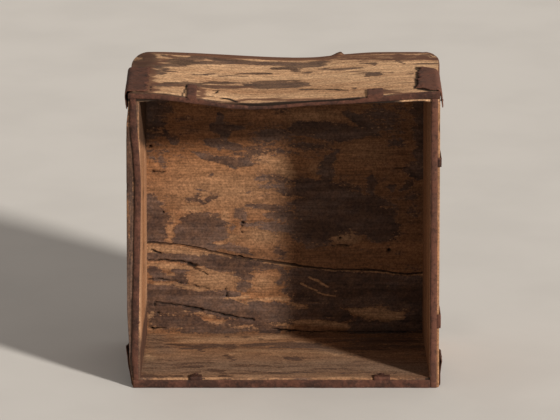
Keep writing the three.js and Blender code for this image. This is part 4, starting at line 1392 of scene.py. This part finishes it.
def widened(points):
    """The top strip hangs where the wall sags most, and widens towards its right end."""
    points = points.copy()
    x, _, z = points.T
    share = np.clip((z - HEIGHT + STRIP_INSET + TOP_STRIP_WIDTH) / TOP_STRIP_WIDTH, 0, 1)
    widening, begins, ends = STRIP_WIDENING
    points[:, Z] += widening * rise(x, begins, ends) * share
    for drop, start, end, where in ((*STRIP_HANG, 1), (*STRIP_NARROWING, share)):
        points[:, Z] -= drop * between(x, start, end) * where
    return settle(points)


def rim_strips(settings):
    """The flat strips round the mouth, with their lugs."""
    material = iron_material("strip_iron", settings)
    strips = {place: Iron(settings) for place in ("top", "bottom", "left", "right")}
    back = MOUTH_Y - FIT
    top_edge = HEIGHT - STRIP_INSET
    top_low = top_edge - TOP_STRIP_WIDTH
    upright_high = top_low + STRIP_LAP

    strips["top"].bar((LEFT_X, STRIP_Y, top_low), (RIGHT_X, back, top_edge), 61, shape=widened)
    outer = HEIGHT + FIT + LUG_THICKNESS
    for lug in TOP_LUGS:
        low, high = lug.sides()
        strips["top"].bar((low, STRIP_Y, top_low + LUG_LAP), (high, back, outer), 62)
        strips["top"].bar((low, STRIP_Y, HEIGHT + FIT), (high, MOUTH_Y + lug.reach, outer), 63, lug.worn)

    end = RIGHT_X - RIGHT_STRIP_INSET - RIGHT_STRIP_WIDTH + STRIP_LAP
    strips["bottom"].bar((LEFT_X + STRIP_INSET, STRIP_Y, 0), (end, back, BOTTOM_STRIP_WIDTH), 71)
    inner = FLOOR_THICKNESS + FIT + LUG_THICKNESS
    for lug in BOTTOM_LUGS:
        low, high = lug.sides()
        tip = MOUTH_Y + lug.reach
        tongue_low = (lug.at - TONGUE_HALF_WIDTH, STRIP_Y, FLOOR_THICKNESS + FIT)
        tongue_high = (lug.at + TONGUE_HALF_WIDTH, tip, inner - TONGUE_DROP)
        strips["bottom"].bar((low, STRIP_Y, BOTTOM_STRIP_WIDTH - LUG_LAP), (high, back, inner), 72)
        strips["bottom"].bar((low, STRIP_Y, FLOOR_THICKNESS + FIT), (high, tip - TONGUE_LENGTH, inner), 73)
        strips["bottom"].bar(tongue_low, tongue_high, 74)

    edge = LEFT_X + LEFT_STRIP_INSET
    low = (edge, STRIP_Y, BOTTOM_STRIP_WIDTH - STRIP_LAP)
    strips["left"].bar(low, (edge + STRIP_WIDTH, back, upright_high), 81, shape=bowed)

    edge = RIGHT_X - RIGHT_STRIP_INSET
    strips["right"].bar((edge - RIGHT_STRIP_WIDTH, STRIP_Y, 0), (edge, back, upright_high), 91, 0.3)
    outer = RIGHT_X + FIT + LUG_THICKNESS
    for lug in RIGHT_LUGS:
        low, high = lug.sides()
        strips["right"].bar((edge - LUG_LAP, STRIP_Y, low), (outer, back, high), 92)
        strips["right"].bar((RIGHT_X + FIT, STRIP_Y, low), (outer, MOUTH_Y + lug.reach, high), 93, lug.worn)

    for place, strip in strips.items():
        strip.made(f"rusted_strip_{place}", material, [f"rim_strip_{place}"])


class Plate(NamedTuple):
    """A corner plate: its corner, its legs, its bend, how torn and worn it is, and where it lifts.

    Its front edge lies back from the mouth by the setback, and further by the cut on its inner side. Its rear
    edge slants, its face leg is wider in front by the splay, and its side leg narrower behind by the taper.
    """

    side: int
    upper: int
    face_leg: float
    side_leg: float
    bend: float
    torn: float
    worn: float
    lifts: tuple
    setback: float = 3.0
    cut: float = 0.0
    slant: float = 0.0
    splay: float = 0.0
    taper: float = 0.0


TOP_LEFT_LIFTS = ((0, 0.8), (0.3, 0.95), (0.7, 0.5), (1, 0))
TOP_RIGHT_LIFTS = ((0, 0.15), (0.3, 0.5), (0.8, 0.9), (1, 1))
BOTTOM_LEFT_LIFTS = ((0, 0), (0.3, 0), (0.7, 0.35), (1, 1))
BOTTOM_RIGHT_LIFTS = ((0, 0), (0.3, 0), (0.68, 0.95), (0.9, 0.2), (1, 0))
PLATES = {
    "top_left": Plate(-1, 1, 23.0, 20.0, 2.5, 5.5, 0.25, TOP_LEFT_LIFTS, setback=1.0),
    "top_right": Plate(
        1, 1, 20.5, 20.0, 4.5, 5.5, 0.6, TOP_RIGHT_LIFTS, setback=6.0, cut=9.0, slant=11.0, splay=5.0
    ),
    "bottom_left": Plate(-1, -1, 26.0, 45.0, 1.5, 3.0, 0.0, BOTTOM_LEFT_LIFTS, taper=26.0),
    "bottom_right": Plate(1, -1, 26.0, 38.0, 1.5, 3.0, 0.0, BOTTOM_RIGHT_LIFTS, taper=26.0),
}
PLATE_LINES = (56, 90, 4)
PLATE_SIDE_TEARS = 2.5
PLATE_END_WAVE = 1.2
PLATE_THIN_RIM = 0.35
PLATE_DENT = 0.3


def corner_plate(plate, seed):
    """The points and faces of a sheet bent round a corner, with torn edges and a side leg that stands off."""
    length = plate.face_leg + plate.side_leg
    ends = (length, 1.0, PLATE_THICKNESS)
    flat, faces = skin([np.linspace(0, end, count) for end, count in zip(ends, PLATE_LINES)])
    along, share_back, out = flat.T
    back = share_back * PLATE_END
    level = np.zeros(len(along))
    face_tears = plate.torn * np.abs(flat_noise(back, level, 8, 1, seed)) ** 0.7
    side_tears = PLATE_SIDE_TEARS * np.abs(flat_noise(back, level, 11, 1, seed + 3))
    face_edge = plate.face_leg + plate.splay * (1 - share_back) - face_tears
    side_edge = plate.side_leg - plate.taper * share_back - side_tears
    along_edge = along / length * (face_edge + side_edge) - face_edge
    inward = np.clip(-along_edge / plate.face_leg, 0, 1)
    end_wave = PLATE_END_WAVE * (1 + flat_noise(along, level, 6, 1, seed + 6))
    front = plate.setback + plate.cut * rise(inward, 0.45, 1) + end_wave
    rear = PLATE_END - plate.slant * (0.5 - inward) - end_wave
    y = MOUTH_Y + front + (rear - front) * share_back

    half_bend = plate.bend * math.pi / 4
    turn = np.clip(along_edge / half_bend + 1, 0, 2) * math.pi / 4
    across = plate.bend * (1 - np.sin(turn)) + np.maximum(-along_edge - half_bend, 0)
    down = plate.bend * (1 - np.cos(turn)) + np.maximum(along_edge - half_bend, 0)
    shares, heights = np.array(plate.lifts).T
    lift = PLATE_LIFT * np.interp(np.maximum(along_edge, 0) / plate.side_leg, shares, heights)
    dent = np.clip(0.5 * flat_noise(along, back, 14, 14, seed + 9), -PLATE_DENT, 0)
    to_end = np.minimum(share_back, 1 - share_back) * PLATE_END
    rim = np.minimum(np.minimum(along, length - along), to_end)
    thin = 1 - PLATE_THIN_RIM * (1 - rise(rim, 0, 1.5))
    off = FIT + out * thin + dent
    u = across - off * np.sin(turn) - lift
    v = off * np.cos(turn) - down
    x = RIGHT_X - u if plate.side > 0 else LEFT_X + u
    z = HEIGHT + v if plate.upper > 0 else FIT + PLATE_THICKNESS - v
    flipped = plate.side * plate.upper > 0
    return np.stack([x, y, z], axis=1), faces[:, ::-1] if flipped else faces


def corner_plates(settings):
    """The four corner plates."""
    material = iron_material("plate_iron", settings)
    for number, (place, plate) in enumerate(PLATES.items()):
        points, faces = corner_plate(plate, 101 + 10 * number)
        sheet = Iron(settings)
        sheet.add(settle(points), faces, plate.worn)
        sheet.made(f"rusted_plate_{place}", material, [f"corner_plate_{place}"])


# The way out of each row of nails, by the start of its nodes' names
NAIL_WAYS = {
    "joint_nail_top": (0, 0, 1),
    "joint_nail_bottom_left": (0, 0, -1),
    "joint_nail_bottom_right": (1, 0, 0),
    "base_nail_top": (0, 0, 1),
    "base_nail_bottom": (0, 0, -1),
    "base_nail_left": (-1, 0, 0),
    "base_nail_right": (1, 0, 0),
    "rim_nail_top": (0, 0, 1),
    "rim_nail_bottom": (0, 0, 1),
    "rim_nail_left": (0, -1, 0),
    "rim_nail_right": (1, 0, 0),
}


def nail_way(node):
    """The way out of one nail, from its name and, on a corner plate, from its shape."""
    for start, way in NAIL_WAYS.items():
        if node.startswith(start):
            return way
    low, high = span(node)
    if high[2] - low[2] > high[0] - low[0]:
        return (0, 0, 1)
    return (-1, 0, 0) if "left" in node else (1, 0, 0)


# How far from its packed place a nail looks for the surface that its head lies on, in metres
NAIL_SEARCH = 7 * MM
NAIL_INPUTS = {
    "Head Radius": "NodeSocketFloat",
    "Head Height": "NodeSocketFloat",
    "Shank Radius": "NodeSocketFloat",
    "Shank Length": "NodeSocketFloat",
    "Unevenness": "NodeSocketFloat",
    "Seed": "NodeSocketInt",
    "Material": "NodeSocketMaterial",
}
HEAD_SIDES = 12
HEAD_RINGS = 3
HEAD_TOP_SHARE = 0.45
SHANK_SIDES = 6
SHANK_TIP_SHARE = 0.3
NAIL_SEED = 7


def nail_tree(name):
    """A Geometry Nodes tree that drives a forged nail at each point, along the point's way out."""
    tree = bpy.data.node_groups.new(name, "GeometryNodeTree")
    for label, kind in {"Geometry": "NodeSocketGeometry", **NAIL_INPUTS}.items():
        tree.interface.new_socket(label, in_out="INPUT", socket_type=kind)
    tree.interface.new_socket("Geometry", in_out="OUTPUT", socket_type="NodeSocketGeometry")
    nodes = Nodes(tree)
    given = nodes.add("NodeGroupInput").outputs
    head = {
        "Vertices": HEAD_SIDES,
        "Side Segments": HEAD_RINGS,
        "Radius Top": nodes.times(given["Head Radius"], HEAD_TOP_SHARE),
        "Radius Bottom": given["Head Radius"],
        "Depth": given["Head Height"],
    }
    shank = {
        "Vertices": SHANK_SIDES,
        "Radius Top": given["Shank Radius"],
        "Radius Bottom": nodes.times(given["Shank Radius"], SHANK_TIP_SHARE),
        "Depth": given["Shank Length"],
    }
    head, shank = (nodes.add("GeometryNodeMeshCone", sizes).outputs["Mesh"] for sizes in (head, shank))
    drop = nodes.math("SUBTRACT", nodes.times(given["Head Height"], 0.5), given["Shank Length"])
    drop = nodes.add("ShaderNodeCombineXYZ", {"Z": drop}).outputs[0]
    lowered = nodes.add("GeometryNodeTransform", {"Geometry": shank, "Translation": drop})
    nail = nodes.add("GeometryNodeJoinGeometry", {0: head})
    nodes.feed(nail.inputs[0], lowered.outputs[0])

    way = nodes.add("GeometryNodeInputNamedAttribute", {"Name": "way_out"}, data_type="FLOAT_VECTOR")
    aim = nodes.add("FunctionNodeAlignRotationToVector", {"Vector": way.outputs["Attribute"]}, axis="Z")
    size = nodes.add("FunctionNodeRandomValue", data_type="FLOAT")
    smallest = nodes.math("SUBTRACT", 1.0, given["Unevenness"])
    for place, value in ((2, smallest), (3, 1.0), ("Seed", given["Seed"])):
        nodes.feed(size.inputs[place], value)
    driving = {
        "Points": given["Geometry"],
        "Instance": nail.outputs[0],
        "Rotation": aim.outputs[0],
        "Scale": size.outputs[1],
    }
    driven = nodes.add("GeometryNodeInstanceOnPoints", driving)
    realized = nodes.add("GeometryNodeRealizeInstances", {0: driven.outputs[0]})
    finish = {"Geometry": realized.outputs[0], "Material": given["Material"]}
    coloured = nodes.add("GeometryNodeSetMaterial", finish)
    nodes.add("NodeGroupOutput", {0: coloured.outputs[0]})
    return tree


def surface_trees(starts):
    """Search trees of the finished pieces whose names have one of these starts."""
    graph = bpy.context.evaluated_depsgraph_get()
    pieces = [item for item in bpy.context.scene.objects if item.name.startswith(starts)]
    return [BVHTree.FromObject(piece, graph) for piece in pieces]


def nail_seat(node, way, trees):
    """Where a nail's head lies: on the worn surface, or in the packed place where that is missed."""
    low, high = span(node)
    top = Vector(((low + high) / 2 + way * (high - low) / 2) * MM)
    start = top + Vector(way) * NAIL_SEARCH
    hits = [tree.ray_cast(start, -Vector(way), 2 * NAIL_SEARCH)[0] for tree in trees]
    found = [hit for hit in hits if hit is not None]
    return min(found, key=lambda hit: (hit - start).length) if found else top


class NailKind(NamedTuple):
    """A kind of nail in metres: its head, its shank and how deep its head is sunk."""

    head_radius: float
    head_height: float
    shank_radius: float
    length: float
    sunk: float


def nail_group(name, nodes, tree, material, kind, trees, unevenness):
    """All the nails of one kind as one piece."""
    ways = [np.array(nail_way(node), float) for node in nodes]
    seats = [nail_seat(node, way, trees) - Vector(way) * kind.sunk for node, way in zip(nodes, ways)]
    mesh = bpy.data.meshes.new(name + "_seats")
    mesh.from_pydata([tuple(seat) for seat in seats], [], [])
    attribute = mesh.attributes.new("way_out", "FLOAT_VECTOR", "POINT")
    attribute.data.foreach_set("vector", np.array(ways, np.float32).ravel())
    holder = add_object(name + "_seats", mesh)
    modifier = holder.modifiers.new("Nails", "NODES")
    modifier.node_group = tree
    sizes = (kind.head_radius, kind.head_height, kind.shank_radius, kind.length)
    values = dict(zip(NAIL_INPUTS, (*sizes, unevenness, NAIL_SEED, material)))
    for item in tree.interface.items_tree:
        if item.in_out == "INPUT" and item.name in values:
            modifier[item.identifier] = values[item.name]
    graph = bpy.context.evaluated_depsgraph_get()
    made = bpy.data.meshes.new_from_object(holder.evaluated_get(graph), depsgraph=graph)
    made.name = name
    bpy.data.objects.remove(holder)
    put_in_place(add_object(name, made), nodes)


def forged_nails(nails, iron):
    """The nails of the joints, the base board, the strips and the plates."""
    material = iron_material("nail_iron", iron)
    tree = nail_tree("forged_nails")
    long_nail = NailKind(nails.long_head, 1.2 * MM, 1.2 * MM, 22 * MM, 1.0 * MM)
    small_nail = NailKind(nails.small_head, 1.0 * MM, 0.9 * MM, 7 * MM, 0.3 * MM)
    groups = {
        "joint_nail": (long_nail, ("worn_",)),
        "base_nail": (long_nail, ("worn_",)),
        "rim_nail": (small_nail, ("rusted_strip", "worn_")),
        "plate_nail": (small_nail, ("rusted_plate", "worn_")),
    }
    for start, (kind, seats) in groups.items():
        nodes = sorted(node for node in frame["nodes"] if node.startswith(start))
        trees = surface_trees(seats)
        nail_group(f"forged_{start}s", nodes, tree, material, kind, trees, nails.unevenness)

# The photograph's view in millimetres: where its camera stood, how far it looked down, and its lens
EYE = (-4.98, -4303.0, 1450.9)
LOOK_DOWN = math.radians(16.52)
LENS = 268.0
SENSOR = 36.0

# The way the light travels from the lamp to the measure, and how wide the lamp looks from there
KEY_WAY = Vector((-0.474, 0.455, -0.27))
KEY_WIDTH = math.radians(6.0)
KEY_PLACE = (2.0, -2.0, 1.5)
FILL_TONE = (1.0, 0.91, 0.83, 1.0)
FLOOR_REACH = 30.0


def stage_floor(settings):
    """A wide pale floor."""
    mesh = bpy.data.meshes.new("pale_floor")
    corners = [(x * FLOOR_REACH, y * FLOOR_REACH, 0) for x, y in ((-1, -1), (1, -1), (1, 1), (-1, 1))]
    mesh.from_pydata(corners, [], [(0, 1, 2, 3)])
    weave = Weave("pale_floor")
    cloud = weave.noise(weave.coords, 6.0, 4.0, 0.5)
    darker = tuple(0.94 * value for value in settings.floor_tone[:3]) + (1.0,)
    shade = weave.over(settings.floor_tone, darker, cloud, 0.35, 0.7)
    mesh.materials.append(weave.finish(shade, 0.75, cloud, 0.05, 0.001))
    add_object("pale_floor", mesh)


def stage_light(settings):
    """One lamp from the right, and even light all round."""
    lamp = bpy.data.lights.new("key_lamp", "SUN")
    lamp.energy = settings.key_strength
    lamp.angle = KEY_WIDTH
    lamp.color = settings.key_tone[:3]
    key = add_object("key_lamp", lamp)
    key.location = KEY_PLACE
    key.rotation_euler = KEY_WAY.to_track_quat("-Z", "Y").to_euler()

    world = bpy.data.worlds.new("even_light")
    world.use_nodes = True
    background = world.node_tree.nodes["Background"]
    background.inputs["Color"].default_value = FILL_TONE
    background.inputs["Strength"].default_value = settings.fill
    bpy.context.scene.world = world
    bpy.context.scene.view_settings.view_transform = "Standard"


def stage_camera():
    """The camera at the photograph's view."""
    camera = bpy.data.cameras.new("front_view")
    camera.lens = LENS
    camera.sensor_width = SENSOR
    camera.clip_end = 100.0
    viewer = add_object("front_view", camera)
    viewer.location = [value * MM for value in EYE]
    viewer.rotation_euler = (math.pi / 2 - LOOK_DOWN, 0.0, 0.0)
    bpy.context.scene.camera = viewer


class MEASURE_OT_walls(bpy.types.Operator):
    """Builds the four planks of the walls"""

    bl_idname = "measure.walls"
    bl_label = "Walls"

    def execute(self, context):
        wood = context.scene.measure_wood
        top_wall(wood)
        lower_wall(wood)
        side_walls(wood)
        return {"FINISHED"}


class MEASURE_OT_base_board(bpy.types.Operator):
    """Builds the two pieces of the split base board"""

    bl_idname = "measure.base_board"
    bl_label = "Base board"

    def execute(self, context):
        base_board(context.scene.measure_wood)
        return {"FINISHED"}


class MEASURE_OT_rim_strips(bpy.types.Operator):
    """Builds the iron strips round the mouth"""

    bl_idname = "measure.rim_strips"
    bl_label = "Rim strips"

    def execute(self, context):
        rim_strips(context.scene.measure_iron)
        return {"FINISHED"}


class MEASURE_OT_corner_plates(bpy.types.Operator):
    """Builds the iron plates round the corners"""

    bl_idname = "measure.corner_plates"
    bl_label = "Corner plates"

    def execute(self, context):
        corner_plates(context.scene.measure_iron)
        return {"FINISHED"}


class MEASURE_OT_nails(bpy.types.Operator):
    """Drives the forged nails"""

    bl_idname = "measure.nails"
    bl_label = "Nails"

    def execute(self, context):
        forged_nails(context.scene.measure_nails, context.scene.measure_iron)
        return {"FINISHED"}


class MEASURE_OT_stage(bpy.types.Operator):
    """Sets the floor, the light and the camera"""

    bl_idname = "measure.stage"
    bl_label = "Stage"

    def execute(self, context):
        stage_floor(context.scene.measure_stage)
        stage_light(context.scene.measure_stage)
        stage_camera()
        return {"FINISHED"}


OPERATORS = (
    MEASURE_OT_walls,
    MEASURE_OT_base_board,
    MEASURE_OT_rim_strips,
    MEASURE_OT_corner_plates,
    MEASURE_OT_nails,
    MEASURE_OT_stage,
)
SETTINGS = {
    "measure_wood": MeasureWoodSettings,
    "measure_iron": MeasureIronSettings,
    "measure_nails": MeasureNailSettings,
    "measure_stage": MeasureStageSettings,
}


class VIEW3D_PT_grain_measure(bpy.types.Panel):
    """Lists the sizes, the colours and the steps of the measure"""

    bl_idname = "VIEW3D_PT_grain_measure"
    bl_label = "Grain Measure"
    bl_space_type = "VIEW_3D"
    bl_region_type = "UI"
    bl_category = "Grain Measure"

    def draw(self, context):
        for step in OPERATORS:
            self.layout.operator(step.bl_idname)
        for name, settings in SETTINGS.items():
            box = self.layout.box()
            box.label(text=settings.__doc__)
            for key in settings.__annotations__:
                box.prop(getattr(context.scene, name), key)


def register():
    """Registers the settings, the operators and the panel."""
    for name, settings in SETTINGS.items():
        bpy.utils.register_class(settings)
        setattr(bpy.types.Scene, name, bpy.props.PointerProperty(type=settings))
    for step in OPERATORS:
        bpy.utils.register_class(step)
    bpy.utils.register_class(VIEW3D_PT_grain_measure)


def unregister():
    """Takes back what register did."""
    bpy.utils.unregister_class(VIEW3D_PT_grain_measure)
    for step in reversed(OPERATORS):
        bpy.utils.unregister_class(step)
    for name, settings in reversed(SETTINGS.items()):
        delattr(bpy.types.Scene, name)
        bpy.utils.unregister_class(settings)


def main():
    """Builds every piece and the stage."""
    register()
    bpy.ops.measure.walls()
    bpy.ops.measure.base_board()
    bpy.ops.measure.rim_strips()
    bpy.ops.measure.corner_plates()
    bpy.ops.measure.nails()
    bpy.ops.measure.stage()


if __name__ == "__main__":
    main()
